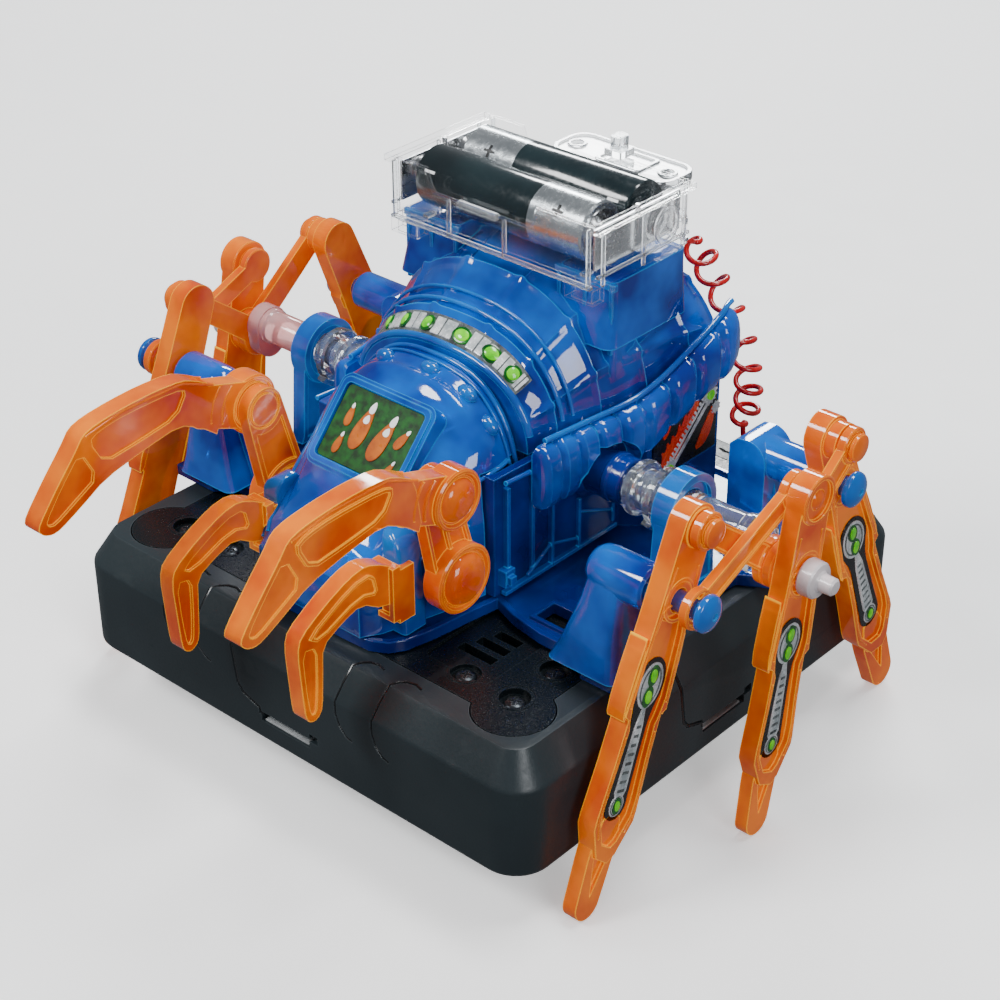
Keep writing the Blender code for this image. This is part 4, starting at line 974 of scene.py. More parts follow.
def rear_wall():
    """The gearbox's rear: a framed door with louvres, screw bosses and an arched plate above it."""
    door = cut(box((-20.6, 20.6), (47.7, 48.9), (36.4, 60.8)), box((-19.2, 19.2), (40, 60), (37.8, 59.4)))
    parts = [door, cut(prism(rounded_rectangle(12.6, 8.2, 2.0, 6, (0, 48.6)), 47.7, 49.3, "Y"),
                       prism(rounded_rectangle(11.4, 7.0, 1.4, 6, (0, 48.6)), 40, 60, "Y"))]
    for step in range(5):
        z = 43.4 + 2.6 * step
        parts.append(prism([(47.8, z - 0.9), (49.2, z - 0.7), (48.6, z + 0.7), (47.8, z + 0.9)], -11.0, 11.0,
                           "X"))
    bosses = [(side * 24.4, z) for side in (-1, 1) for z in (39.0, 58.4)]
    for x, z in bosses:
        parts.append(cut(disc((x, z), 2.9, 47.6, 49.8, "Y", 32), disc((x, z), 2.1, 49.0, 51, "Y", 32)))
    raised = Arch(ABDOMEN, SEAM_Z + 0.6, 2.3)
    for inset, radius in ((4.2, 0.5), (8.6, 0.4)):
        parts.append(tube(raised.hoop(50.95, -inset, range(0, 181, 5), DOME_REAR), radius, 8))
    parts.append(facing_rear(turned(((0, 50.4), (2.9, 50.4), (2.7, 51.4), (1.6, 51.5), (1.4, 50.9),
                                     (0, 50.9)), (0, -(SEAM_Z + 3.6)), "Z", 32)))
    finish_piece(gather(*parts), "rear_door", BLUE, "chassis", "blue_plastic", bevel=0.18, angle=40)
    screws = [facing_rear(cross_screw((x, -z), 48.9, 1.9)) for x, z in bosses]
    finish_piece(gather(*screws), "rear_screws", DARK_METAL, "chassis", "blue_plastic", bevel=0.07)


def cheek_relief(y, degrees):
    """Puffed cheeks, a brow line above the face and a soft crease down each side of the snout."""
    side = min(degrees, 180 - degrees)
    cheek = 1.5 * bump_at(y, -29.0, 9.0) * bump_at(side, 35.0, 22.0)
    brow = 0.9 * bump_at(y, -26.4, 3.0) * bump_at(side, 90.0, 62.0)
    crease = -0.7 * bump_at(y, -45.0, 13.0) * bump_at(side, 46.0, 6.0)
    lip = 0.8 * bump_at(y, -57.0, 4.0) * bump_at(side, 60.0, 50.0)
    jaw = 0.7 * bump_at(y, -50.0, 9.0) * bump_at(side, 20.0, 14.0)
    fade = min(1.0, max(0.0, (-17.6 - y) / 3.0))
    return (cheek + brow + crease + lip + jaw) * fade


def face_shape(outline, low, high):
    """A prism standing on the face plane, whose axes are x, up the slope and outwards."""
    face_plane = Matrix.Translation(FACE_CENTRE) @ Matrix.Rotation(FACE_SLOPE, 4, "X")
    return prism(outline, low, high, "Z", face_plane)


def head():
    shell = COWL.skin(11.0, 96, 96, cheek_relief, (SNOUT_Y, HEAD_REAR))
    snout = [COWL.ring(y, 10.3 - inset, 40, plain, SNOUT_Y, inset)
             for y, inset in ((-60.4, 0.0), (-61.0, 0.9), (-61.4, 2.2))]
    join(shell, loft(snout))
    cut(shell, COWL.inset(2.4).skin(16.0, 36, 36, plain, (-58.0, -15.0)))
    bezel = face_shape(rounded_rectangle(FACE_HALF[0] + 2.4, FACE_HALF[1] + 2.4, 2.8, 8), -3.4, 1.0)
    rim = face_shape(rounded_rectangle(FACE_HALF[0] + 1.5, FACE_HALF[1] + 1.5, 2.0, 8), 0.5, 1.5)
    join(shell, bezel, rim)
    cut(shell, face_shape(rounded_rectangle(FACE_HALF[0] + 0.2, FACE_HALF[1] + 0.2, 1.3, 6), 0.2, 6.0))
    cut(shell, box((-60, 60), (-30.0, 20), (0, SEAM_Z + 0.3)))
    cut(shell, box((-60, 60), (-80, 30), (0, STAND_Z)))
    finish_piece(shell, "head_cowl", BLUE, "chassis", "blue_plastic", ("head_shell",), angle=40)


def head_trim():
    """Brow bumps, cheek bosses that carry the arms, and a pillar on each side of the snout."""
    trims = []
    for degrees in (46, 66, 88, 110):
        bump = turned(((0, -1.0), (2.1, -1.0), (2.1, 0.0), (1.7, 0.7), (1.0, 1.15), (0, 1.3)), (0, 0), "Z",
                      28, (1.25, 0.8))
        lean = Matrix.Rotation(math.radians(90 - degrees) * 0.62, 4, "Y")
        bump.data.transform(Matrix.Translation(COWL.point(-22.6, degrees, 0.3) * MM) @ lean)
        trims.append(bump)
    boss = turned(((0, 17.0), (4.2, 17.0), (4.2, 23.4), (3.8, 24.3), (1.9, 24.3), (1.9, 29.4), (1.5, 29.6),
                   (0, 29.6)), (-42.0, 46.0))
    pillar = []
    for z, x, inset in ((33.7, 20.0, 0.0), (44.0, 19.4, 0.0), (54.6, 18.4, 0.0), (56.2, 17.8, 0.35),
                        (57.2, 17.0, 1.0), (57.6, 16.4, 1.8)):
        pillar.append([(*point, z) for point in
                       rounded_rectangle(2.6 - inset, 3.6 - inset, 1.1 - inset * 0.4, 5, (x, -50.0))])
    finish_piece(gather(*trims, both_halves(boss, loft(pillar))), "head_trim", BLUE_BRIGHT, "chassis",
                 "blue_plastic", bevel=0.2, angle=45)


# each line's first and last y, its first and last angle up from the side, and its radius
CHEEK_LINES = ((-21.0, -58.0, 26.0, 33.0, 0.5), (-34.0, -58.0, 12.0, 10.0, 0.4))


def head_lines():
    """Raised seams over the head: the cowl's edge, the cheek lines and the lines beside the face."""
    lines = []
    for y, lift, radius, low in ((-18.6, 0.45, 0.55, 8), (-20.6, 0.3, 0.35, 12)):
        lines.append(tube(COWL.hoop(y, lift, range(low, 181 - low, 3)), radius, 8))
    for left in (False, True):
        for start, end, first, last, radius in CHEEK_LINES:
            path = []
            for step in range(25):
                share = step / 24
                y = start + (end - start) * share
                degrees = first + (last - first) * share
                degrees = 180 - degrees if left else degrees
                path.append(COWL.point(y, degrees, cheek_relief(y, degrees) + 0.12))
            lines.append(tube(path, radius, 8))
    finish_piece(gather(*lines), "head_lines", BLUE_BRIGHT, "chassis", "blue_plastic", angle=50)


def flank_band():
    """The ribbed band along each flank: broad ribs that grow to the rear, with deep grooves between."""
    edges = [-19.0, -13.6, -8.4, -3.0, 3.0, 9.4, 16.4, 24.0, 32.4, 41.5]
    rings = []
    steps = 150
    for index in range(steps + 1):
        y = edges[0] + (edges[-1] - edges[0]) * index / steps
        x, low, high = section_at(FLANK, y)
        share = 0.0
        for start, end in zip(edges, edges[1:]):
            if start <= y <= end:
                share = (y - start) / (end - start)
        ridge = min(1.0, 5.0 * min(share, 1 - share)) if 0 < index < steps else 0.0
        out = 2.0 + 2.4 * ridge ** 0.5
        wide = 1.3 * ridge ** 0.5 - 0.3
        middle = (low + high) / 2
        half = (high - low) / 2 - 0.6 + wide
        ring = [Vector((x - 0.2, y, middle - half + 0.8))]
        for step in range(13):
            angle = math.radians(-90 + 180 * step / 12)
            ring.append(Vector((x + 0.4 + out * abs(math.cos(angle)) ** 0.6, y,
                                middle + half * math.copysign(abs(math.sin(angle)) ** 0.8, math.sin(angle)))))
        ring.append(Vector((x - 0.2, y, middle + half - 0.8)))
        rings.append(ring)
    band = loft(rings)
    cut(band, disc(CRANK, 8.0, 25, 50))
    side_pair(band, "flank_ribs", BLUE, "chassis", "blue_plastic", ("flank_band_{}",), angle=34)


def sealing_flange():
    """The raised line where the dome meets the box, and a short one in front of the ribs."""
    path = []
    for step in range(40):
        y = -16.0 + 58.0 * step / 39
        x, _low, high = section_at(FLANK, y)
        path.append((x + 0.7, y, high + 1.0))
    front_path = [(29.0, y, 63.4 - 0.08 * (y + 28)) for y in range(-28, -19, 2)]
    side_pair(gather(tube(path, 0.7, 10), tube(front_path, 0.6, 8)), "flank_lines", BLUE_BRIGHT, "chassis",
              "blue_plastic", angle=50)


# ---------------------------------------------------------------- labels

def drop(centre, length, width, heading):
    """Outline of an egg-shaped drop; heading in degrees is the way its narrow end points."""
    points = []
    turn = math.radians(heading)
    for index in range(36):
        angle = 2 * math.pi * index / 36
        along = math.cos(angle) * length / 2
        across = math.sin(angle) * width / 2 * (1 - 0.38 * math.cos(angle))
        points.append((centre[0] + along * math.cos(turn) - across * math.sin(turn),
                       centre[1] + along * math.sin(turn) + across * math.cos(turn)))
    return points


FACE_DROPS = (((-2.9, 0.6), 10.6, 3.9, 84), ((3.4, -0.2), 10.6, 4.0, 78), ((-7.6, 2.0), 5.0, 2.0, 92),
              ((-7.2, -4.6), 4.8, 1.9, 84), ((8.4, 1.6), 5.0, 2.2, 66), ((8.6, -5.6), 4.4, 1.7, 72))


def face_label():
    plate = face_shape(rounded_rectangle(*FACE_HALF, 1.2, 8), 0.3, 0.8)
    finish_piece(plate, "face_panel", LABEL_GREEN, "chassis", "green_label", ("face_label",), bevel=0.12)
    drops = [face_shape(drop(*spec), 0.78, 1.02) for spec in FACE_DROPS]
    finish_piece(gather(*drops), "face_drops", LABEL_ORANGE, "chassis", "green_label", bevel=0.12, segments=3)
    shines = []
    for centre, length, width, heading in FACE_DROPS:
        turn = math.radians(heading)
        for reach, size in ((0.47, 0.27), (0.20, 0.20)):
            spot = (centre[0] + length * reach * math.cos(turn), centre[1] + length * reach * math.sin(turn))
            if length > 6 or reach > 0.4:
                shines.append(face_shape(drop(spot, length * size, width * 0.40, heading), 0.9, 1.10))
    finish_piece(gather(*shines), "face_shines", LABEL_WHITE, "chassis", "green_label", bevel=0.05)


def neck_point(degrees, along, lift):
    """A point on the dome's front slope, along its way from the first section to the second."""
    y, half_width, top = (start + (end - start) * along for start, end in zip(*ABDOMEN[:2]))
    return body_point(y, degrees, DOME.centre_z, DOME.power, half_width, top, lift)


def neck_strip(first, last, low, high, near, far, steps):
    """A patch lying on the front of the dome between two angles; low and high are heights above it."""
    corners = ((near, low), (near, high), (far, high), (far, low))
    return loft([[neck_point(first + (last - first) * index / steps, *corner) for corner in corners]
                 for index in range(steps + 1)])


NECK_OVALS = ((50, 5.4), (66, 6.6), (84, 6.8), (101, 5.6), (116, 4.4), (129, 3.2))


def neck_label():
    strip = neck_strip(40, 138, 0.55, 1.05, 0.08, 0.78, 49)
    finish_piece(strip, "neck_band", LABEL_GREY, "chassis", "silver_label", ("neck_label",), bevel=0.1)
    plates = []
    edges = [(41.5, 46)]
    for (here, size), (after, next_size) in zip(NECK_OVALS, NECK_OVALS[1:]):
        edges.append((here + size * 0.62, after - next_size * 0.62))
    for low, high in edges:
        middle = (low + high) / 2
        for start, end in ((low, middle - 0.35), (middle + 0.35, high)):
            plates.append(neck_strip(start, end, 1.0, 1.35, 0.18, 0.68, 3))
    finish_piece(gather(*plates), "neck_plates", LABEL_SILVER, "chassis", "silver_label", bevel=0.12)
    rings = []
    dots = []
    for degrees, size in NECK_OVALS:
        centre = neck_point(degrees, 0.43, 1.0)
        out = neck_point(degrees, 0.43, 2.0) - centre
        up = (neck_point(degrees, 0.7, 1.0) - neck_point(degrees, 0.2, 1.0)).normalized()
        out = (out - up * out.dot(up)).normalized()
        place = Matrix(((*up.cross(out), 0), (*up, 0), (*out, 0), (0, 0, 0, 1))).transposed()
        place.translation = centre * MM
        squash = (1.15 * size / 6.8, 0.92)
        for group, profile in ((rings, ((0, 0), (2.25, 0), (2.25, 0.35), (1.9, 0.5), (0, 0.5))),
                               (dots, ((0, 0.3), (1.65, 0.3), (1.55, 0.65), (0.9, 0.9), (0, 0.98)))):
            item = turned(profile, (0, 0), "Z", 32, squash)
            item.data.transform(place)
            group.append(item)
    finish_piece(gather(*rings), "neck_rings", LIME_RING, "chassis", "silver_label", angle=40)
    finish_piece(gather(*dots), "neck_dots", LIME, "chassis", "silver_label", angle=40)


FLAMES = (((20.2, 45.4), (21.4, 49.6), (20.9, 51.4), (22.6, 50.6), (23.1, 53.4), (24.2, 51.8), (24.9, 54.6),
           (26.2, 53.0), (27.6, 56.8), (28.0, 54.6), (29.6, 58.2), (30.6, 56.8), (32.4, 61.6), (33.0, 59.8),
           (34.4, 62.0), (34.8, 58.6), (32.6, 54.6), (30.4, 51.8), (27.8, 49.0), (24.6, 46.2), (22.6, 45.2)),
          ((21.2, 55.0), (22.6, 57.6), (23.2, 56.6), (24.6, 59.4), (24.2, 57.2), (23.4, 55.4), (22.0, 54.2)),
          ((27.0, 59.4), (28.6, 61.6), (29.4, 60.6), (28.2, 58.8)),
          ((33.6, 46.4), (35.8, 50.4), (38.0, 53.2), (40.4, 56.6), (41.0, 52.4), (39.4, 48.8), (37.2, 46.6)),
          )
CHAIN = ((24.0, 46.0), (38.6, 59.6))        # y and z of the chain's two ends on the side label


def cog_outline(centre, radius, teeth):
    points = []
    for tooth in range(teeth):
        for share, reach in ((0.0, 0.8), (0.25, 0.8), (0.35, 1.0), (0.65, 1.0), (0.75, 0.8)):
            angle = 2 * math.pi * (tooth + share) / teeth
            points.append((centre[0] + radius * reach * math.cos(angle),
                           centre[1] + radius * reach * math.sin(angle)))
    return points


def flame_labels():
    plate = prism([(18, 44.5), (42, 44.5), (42, 62.5), (18, 62.5)], 33.15, 33.7)
    side_pair(plate, "side_panel", LABEL_BLACK, "chassis", "dark_label", ("flame_label_{}",), bevel=0.12)
    flames = [prism(smoothed(outline), 33.65, 33.85) for outline in FLAMES]
    side_pair(gather(*flames), "side_flames", LABEL_RED, "chassis", "dark_label", bevel=0.05)
    low_end, high_end = (Vector(end) for end in CHAIN)
    length = (high_end - low_end).length
    along = (high_end - low_end) / length
    across = Vector((-along.y, along.x))
    strips = [(1.0, length - 1.0, -1.5, -0.5, 34.05), (1.0, length - 1.0, 0.3, 0.8, 34.05)]
    for index in range(14):
        start = 1.6 + index * 1.22
        strips.append((start, start + 0.7, 1.0, 2.0, 34.0))
    chain = []
    for start, end, left, right, high in strips:
        corners = ((start, left), (end, left), (end, right), (start, right))
        chain.append(prism([tuple(low_end + along * a + across * b) for a, b in corners], 33.8, high))
    for centre, radius, teeth in ((low_end, 2.4, 11), (high_end, 2.9, 13),
                                  (high_end + Vector((2.6, -4.4)), 1.7, 9)):
        chain.append(prism(cog_outline(centre, radius, teeth), 33.8, 34.1))
    side_pair(gather(*chain), "side_chain", LABEL_SILVER, "chassis", "dark_label", bevel=0.06)
    dots = [domed(high_end, 1.25, 34.0, 0.3), domed(low_end, 0.95, 34.0, 0.25)]
    side_pair(gather(*dots), "side_dots", LIME, "chassis", "dark_label")


# ---------------------------------------------------------------- legs and links

LEG_TILT = math.radians(22.0)
MID_LEAN = math.radians(9.0)
LEG_TOP = 16.0
MID_TOP = 17.5
FOOT_PLANE = -13.0
TOE_RADIUS = 4.0
LEG_LENGTH = 86.1                           # boss to toe of the leg the outlines are given for


def mirrored_outline(right, skip_ends=True):
    """Both halves of an outline whose ends lie on the middle line, unless skip_ends is off."""
    left = right[1:-1] if skip_ends else right
    return right + [(-across, down) for across, down in reversed(left)]


UPPER_LEG = ((5.35, 4), (5.6, 14), (6.0, 22), (6.6, 30), (7.3, 39.5), (7.4, 41.3), (5.95, 42.2), (5.9, 44),
             (6.2, 53), (7.1, 65.0), (7.0, 67.2), (3.4, 74.4), (1.2, 76.2))
TOE = ((3.0, 66), (4.55, 72.8), (4.5, 76))
RECESS = ((4.0, 19.6), (4.9, 24), (5.3, 30), (5.9, 38.5), (5.2, 42.6), (4.5, 44.5), (4.9, 53), (5.6, 62.0),
          (5.4, 65.8), (2.6, 71.2), (0.9, 72.4))


LEG_RIDGES = (((5.2, 46), (5.5, 53), (6.2, 61), (6.3, 65.5), (4.6, 69.5)),
              ((3.9, 8.5), (4.5, 14), (5.2, 22), (6.0, 33), (6.4, 39.5)))


def leg_frame(pivot, tilt):
    """Map (across, down) leg coordinates to (y, z); a positive tilt carries the toe towards the front."""
    def place(point):
        across, down = point
        y = pivot[0] - down * math.sin(tilt) + across * math.cos(tilt)
        z = pivot[1] - down * math.cos(tilt) - across * math.sin(tilt)
        return y, z
    return place


class Leg:
    """Sizes and mapping of one leg plate; along is measured from its top on a leg of LEG_LENGTH."""

    def __init__(self, pivot, tilt, top_rise, layer, decal_drop):
        self.pivot = pivot
        self.rise = top_rise
        self.layer = layer
        self.decal_drop = decal_drop
        self.drop = (pivot[1] - FOOT_PLANE - TOE_RADIUS) / math.cos(tilt)
        self.scale = (self.drop + top_rise) / LEG_LENGTH
        self.place = leg_frame(pivot, tilt)
        self.top = self.place((0.0, -top_rise))

    def shape(self, outline, low, high):
        return prism([self.place(point) for point in outline], low, high)

    def side(self, points):
        """(across, along) points as (across, down) ones."""
        return [(across, along * self.scale - self.rise) for across, along in points]

    def spot(self, across, along):
        return self.place(*self.side([(across, along)]))

    def on_decal(self, points):
        """Decal points moved down the leg to where this leg's decal lies."""
        return self.side([(across, along + self.decal_drop) for across, along in points])

    def oval(self, centre, half_across, half_along, low, high):
        points = [(centre[0] + half_across * x, centre[1] + half_along * y) for x, y in circle((0, 0), 1, 32)]
        return self.shape(self.on_decal(points), low, high)


def leg_body(leg):
    """The leg moulding: a plate with a raised rim, skirts at its knee, a pointed shin and a grooved toe."""
    low, high = leg.layer
    boss = arc((0, -leg.rise), 5.2, -90, 0, 12)
    upper = mirrored_outline(boss + leg.side(UPPER_LEG))
    floor = leg.shape(upper, low + 0.2, high - 1.3)
    rim = leg.shape(upper, high - 1.5, high)
    pocket = mirrored_outline([(0.0, 19.0 * leg.scale - leg.rise)] + leg.side(RECESS))
    cut(rim, leg.shape(pocket, high - 3, high + 1))
    join(floor, rim)
    toe_tip = arc((0, leg.drop), TOE_RADIUS, 0, 90, 12)
    toe = leg.shape(mirrored_outline([(0.0, 64 * leg.scale - leg.rise)] + leg.side(TOE) + toe_tip), low + 0.2,
                    high - 1.0)
    groove = leg.side(((2.5, 74.0), (2.3, 76), (0.0, 84.5)))
    groove = groove + [(-across, down) for across, down in reversed(groove[:-1])]
    cut(toe, leg.shape(groove, high - 1.9, high))
    join(floor, toe)
    skirts = []
    for sign in (-1, 1):
        skirt = leg.side(((6.9, 24.0), (7.5, 30), (7.9, 38.5), (7.6, 41.6), (7.0, 42.6), (6.2, 41.0),
                          (6.0, 30)))
        skirts.append(leg.shape([(sign * across, down) for across, down in skirt], low - 0.05, high - 0.35))
    return join(floor, *skirts)


def leg_pocket_ridge(leg):
    """Raised lines: one round the decal pocket's upper end, and one down each side of thigh and shin."""
    lines = []
    face = leg.layer[1] - 0.05
    for sign in (-1, 1):
        for points in LEG_RIDGES:
            lines.append(tube([(face, *leg.spot(sign * across, along)) for across, along in points], 0.28, 8))
    arch = [leg.spot(4.6 * x, 18.6 + 1.8 * y) for x, y in arc((0, 0), 1, -170, -10, 14)]
    lines.append(tube([(face, *point) for point in arch], 0.3, 8))
    return gather(*lines)


def keyhole(grow):
    """The decal's outline: a wide rounded head above a long narrow stem, in (across, along)."""
    head_edge = [((4.3 + grow) * x, 33.4 + (5.5 + grow) * y) for x, y in arc((0, 0), 1, -90, 36, 14)]
    stem = [(across + grow, along) for across, along in ((2.4, 40.2), (2.1, 43), (2.3, 50), (2.6, 58.8))]
    foot = [((2.75 + grow) * x, 60.9 + (2.7 + grow) * y) for x, y in arc((0, 0), 1, 0, 90, 10)]
    return head_edge + stem + foot


def leg_decal(leg, name, body):
    """Black keyhole label with a silver joint, ribbed stem and green lamps."""
    base = leg.layer[1] - 1.35
    black = leg.shape(mirrored_outline(leg.on_decal(keyhole(0.9))), base, base + 0.35)
    side_pair(black, f"{name}_decal", LABEL_BLACK, body, "dark_label", bevel=0.08)
    stem = [(0.6, 38.0), (1.5, 42.6), (1.8, 50.0), (2.05, 57.8), (1.4, 59.2)]
    bright = [leg.shape(mirrored_outline(leg.on_decal(stem), False), base + 0.28, base + 0.46)]
    dark = []
    for centre, across, along in (((0, 33.4), 4.1, 5.3), ((0, 60.9), 2.4, 2.6)):
        bright.append(leg.oval(centre, across, along, base + 0.3, base + 0.5))
        line = leg.oval(centre, across * 0.84, along * 0.86, base + 0.45, base + 0.62)
        dark.append(cut(line, leg.oval(centre, across * 0.74, along * 0.78, base, base + 1)))
    for step in range(8):
        along = 42.4 + 2.1 * step
        half = 0.75 + 0.07 * step
        rung = [(-half, along), (half, along), (half, along + 0.7), (-half, along + 0.7)]
        dark.append(leg.shape(leg.on_decal(rung), base + 0.42, base + 0.58))
    side_pair(gather(*dark), f"{name}_decal_plates", LABEL_GREY, body, "dark_label", bevel=0.05)
    for sign in (-1, 1):
        rail = [(sign * 0.35, 39.0), (sign * 1.25, 42.4), (sign * 1.6, 50), (sign * 1.85, 57.8),
                (sign * 1.55, 57.8), (sign * 1.3, 50), (sign * 0.95, 42.8)]
        bright.append(leg.shape(leg.on_decal(rail), base + 0.42, base + 0.62))
    side_pair(gather(*bright), f"{name}_decal_rails", LABEL_SILVER, body, "dark_label", bevel=0.05)
    rings = []
    lamps = []
    for along, size in ((31.1, 1.7), (35.9, 1.7), (60.9, 1.35)):
        rings.append(leg.oval((0, along), size, size * 1.45, base + 0.5, base + 0.72))
        centre = leg.spot(0, along + leg.decal_drop)
        lamps.append(turned(((0, base + 0.6), (size * 0.74, base + 0.6), (size * 0.7, base + 0.85),
                             (size * 0.4, base + 1.0), (0, base + 1.05)), centre, "X", 28, (0.9, 1.3)))
    side_pair(gather(*rings), f"{name}_lamp_rings", LIME_RING, body, "dark_label", bevel=0.05)
    side_pair(gather(*lamps), f"{name}_lamps", LIME, body, "dark_label", angle=50)


def ringed_boss(centre, radius, low, high, hole=0.0, ring=0.9):
    """A round link end: a raised outer ring, a sunk face and a domed middle."""
    rise = high - low
    profile = [(0, low), (radius - 0.25, low), (radius, low + 0.25), (radius, high - 0.25),
               (radius - 0.25, high), (radius - ring, high), (radius - ring - 0.2, high - 0.35 * rise)]
    middle = (radius - ring) * 0.62
    profile += [(middle, high - 0.35 * rise), (middle * 0.8, high - 0.12 * rise),
                (middle * 0.4, high + 0.02 * rise), (0, high + 0.05 * rise)]
    boss = turned(profile, centre, "X", 44)
    return cut(boss, disc(centre, hole, low - 3, high + 3)) if hole else boss


def outer_leg(leg, link, rear):
    plate = leg_body(leg)
    low, high = leg.layer
    join(plate, disc(leg.top, 4.4, high - 0.5, link[0] - 0.3))
    join(plate, turned(((0, high - 0.5), (1.7, high - 0.5), (1.7, link[1] + 0.5), (3.2, link[1] + 0.5),
                        (3.3, link[1] + 0.8), (3.1, link[1] + 1.4), (2.2, link[1] + 1.8), (0, link[1] + 1.9)),
                       leg.top))
    join(plate, ring(leg.pivot, 5.0, 4.2, high - 1.5, high + 0.15, "X", 44))
    cut(plate, disc(leg.pivot, 2.75, 70, 90, "X", 32))
    if rear:
        lug = [leg.place(point) for point in ((-4.6, -4.0), (-6.4, -1.2), (-6.4, 2.0), (-4.6, 4.4))]
        join(plate, prism(lug, low + 0.4, high - 0.6))
    return plate


def outer_legs():
    for name, pivot_y, tilt in (("front_leg", -LEG_PIVOT_Y, LEG_TILT), ("rear_leg", LEG_PIVOT_Y, -LEG_TILT)):
        leg = Leg((pivot_y, LEG_PIVOT_Z), tilt, LEG_TOP, LEG_LAYER, 2.0)
        link = INNER_LINK if pivot_y < 0 else OUTER_LINK
        body = name + "_{}"
        side_pair(outer_leg(leg, link, pivot_y > 0), f"{name}_moulding", ORANGE, body, "orange_plastic",
                  (body,), bevel=0.42, segments=3)
        side_pair(leg_pocket_ridge(leg), f"{name}_ridges", ORANGE, body, "orange_plastic", angle=50)
        leg_decal(leg, name, body)


def mid_legs():
    leg = Leg(CRANK_PIN, MID_LEAN, MID_TOP, MID_LAYER, 4.0)
    low, high = leg.layer
    plate = leg_body(leg)
    join(plate, ringed_boss(CRANK_PIN, 5.6, low + 0.1, high + 0.1, 0, 1.0),
         ringed_boss(leg.top, 5.6, low + 0.1, high + 0.75, 0, 1.0))
    cut(plate, disc(leg.top, 3.6, low - 1, low + 2.8, "X", 36), disc(CRANK_PIN, 1.85, 80, 92, "X", 24))
    side_pair(plate, "mid_leg_moulding", ORANGE, "mid_leg_{}", "orange_plastic", ("mid_leg_{}",), bevel=0.42,
              segments=3)
    side_pair(leg_pocket_ridge(leg), "mid_leg_ridges", ORANGE, "mid_leg_{}", "orange_plastic", angle=50)
    leg_decal(leg, "mid_leg", "mid_leg_{}")


def bar_between(first, first_radius, second, second_radius, layer, rail=0.7):
    """A link bar with a sunk web between raised edges."""
    low, high = layer
    outline = hull_of_discs(first, first_radius, second, second_radius)
    return cut(prism(outline, low, high), prism(inset_outline(outline, rail), high - 0.55, high + 1))


def drive_link(small_end, layer):
    low, high = layer
    bar = bar_between(CRANK_PIN, 3.2, small_end, 2.9, layer)
    join(bar, ringed_boss(small_end, 4.3, low, high, 0, 0.8), ringed_boss(CRANK_PIN, 5.6, low, high, 0, 0.9))
    return cut(bar, disc(small_end, 2.0, 70, 90, "X", 24), disc(CRANK_PIN, 3.4, 70, 90, "X", 36))


def rocker_link():
    pivot = (-LEG_PIVOT_Y, LEG_PIVOT_Z)
    end = leg_frame(CRANK_PIN, MID_LEAN)((0.0, -MID_TOP))
    low, high = OUTER_LINK
    bar = bar_between(pivot, 2.6, end, 2.4, OUTER_LINK, 0.6)
    join(bar, ringed_boss(pivot, 4.6, low, high, 0, 0.8), ringed_boss(end, 4.4, low, high - 0.1, 0, 0.8))
    join(bar, turned(((0, high - 0.5), (1.2, high - 0.5), (1.2, MID_LAYER[0] + 2.0),
                      (0.9, MID_LAYER[0] + 2.2), (0, MID_LAYER[0] + 2.2)), end, "X", 20))
    return cut(bar, disc(pivot, 2.7, 70, 90, "X", 30))


def links():
    front_top = leg_frame((-LEG_PIVOT_Y, LEG_PIVOT_Z), LEG_TILT)((0.0, -LEG_TOP))
    rear_top = leg_frame((LEG_PIVOT_Y, LEG_PIVOT_Z), -LEG_TILT)((0.0, -LEG_TOP))
    for name, bar in (("front_link", drive_link(front_top, INNER_LINK)),
                      ("rear_link", drive_link(rear_top, OUTER_LINK)), ("rocker_link", rocker_link())):
        body = name + "_{}"
        side_pair(bar, f"{name}_bar", ORANGE, body, "orange_plastic", (body,), bevel=0.25, segments=3)


# ---------------------------------------------------------------- crank

def crank_tube():
    """The crank's outer part: a round tube, a shoulder, the crank web and the pin."""
    arm = turned(((0, 58.9), (4.3, 58.9), (4.3, 60.0), (3.9, 60.5), (3.9, 61.5), (4.2, 62.2), (4.2, 72.4),
                  (4.6, 73.0), (4.6, 74.6), (0, 74.6)), CRANK, "X", 44)
    web = prism(hull_of_discs(CRANK, 5.0, CRANK_PIN, 4.6, 24), 74.3, 78.0)
    pin = turned(((0, 76.8), (1.5, 76.8), (1.5, 93.8), (1.1, 94.2), (0, 94.2)), CRANK_PIN, "X", 28)
    return join(arm, web, ring(CRANK, 4.4, 3.4, 77.0, 78.3), pin)


def crank_parts():
    shape = crank_tube()
    twin = mirrored(shape)
    for item, side, material in ((shape, "right", CLEAR), (twin, "left", CLEAR_PINK)):
        finish_piece(item, f"crank_tube_{side}", material, "crank", "clear_plastic", (f"crank_arm_{side}",),
                     bevel=0.3, segments=3)
    shaft = turned(((0, -58.6), (2.7, -58.6), (3.2, -58.1), (3.2, 58.1), (2.7, 58.6), (0, 58.6)), CRANK, "X",
                   40)
    finish_piece(shaft, "crank_axle", CLEAR, "crank", "clear_plastic", ("crank_shaft",))
    cap = turned(((0, 94.5), (1.65, 94.5), (1.65, 88.9), (4.0, 88.9), (4.3, 89.3), (4.2, 92.0), (3.8, 92.5),
                  (2.5, 92.7), (2.1, 93.1), (2.0, 95.9), (1.5, 96.4), (0, 96.5)), CRANK_PIN, "X", 40)
    side_pair(cap, "pin_cap", FROST, "crank", "white_plastic", ("crank_pin_cap_{}",))


# ---------------------------------------------------------------- arms

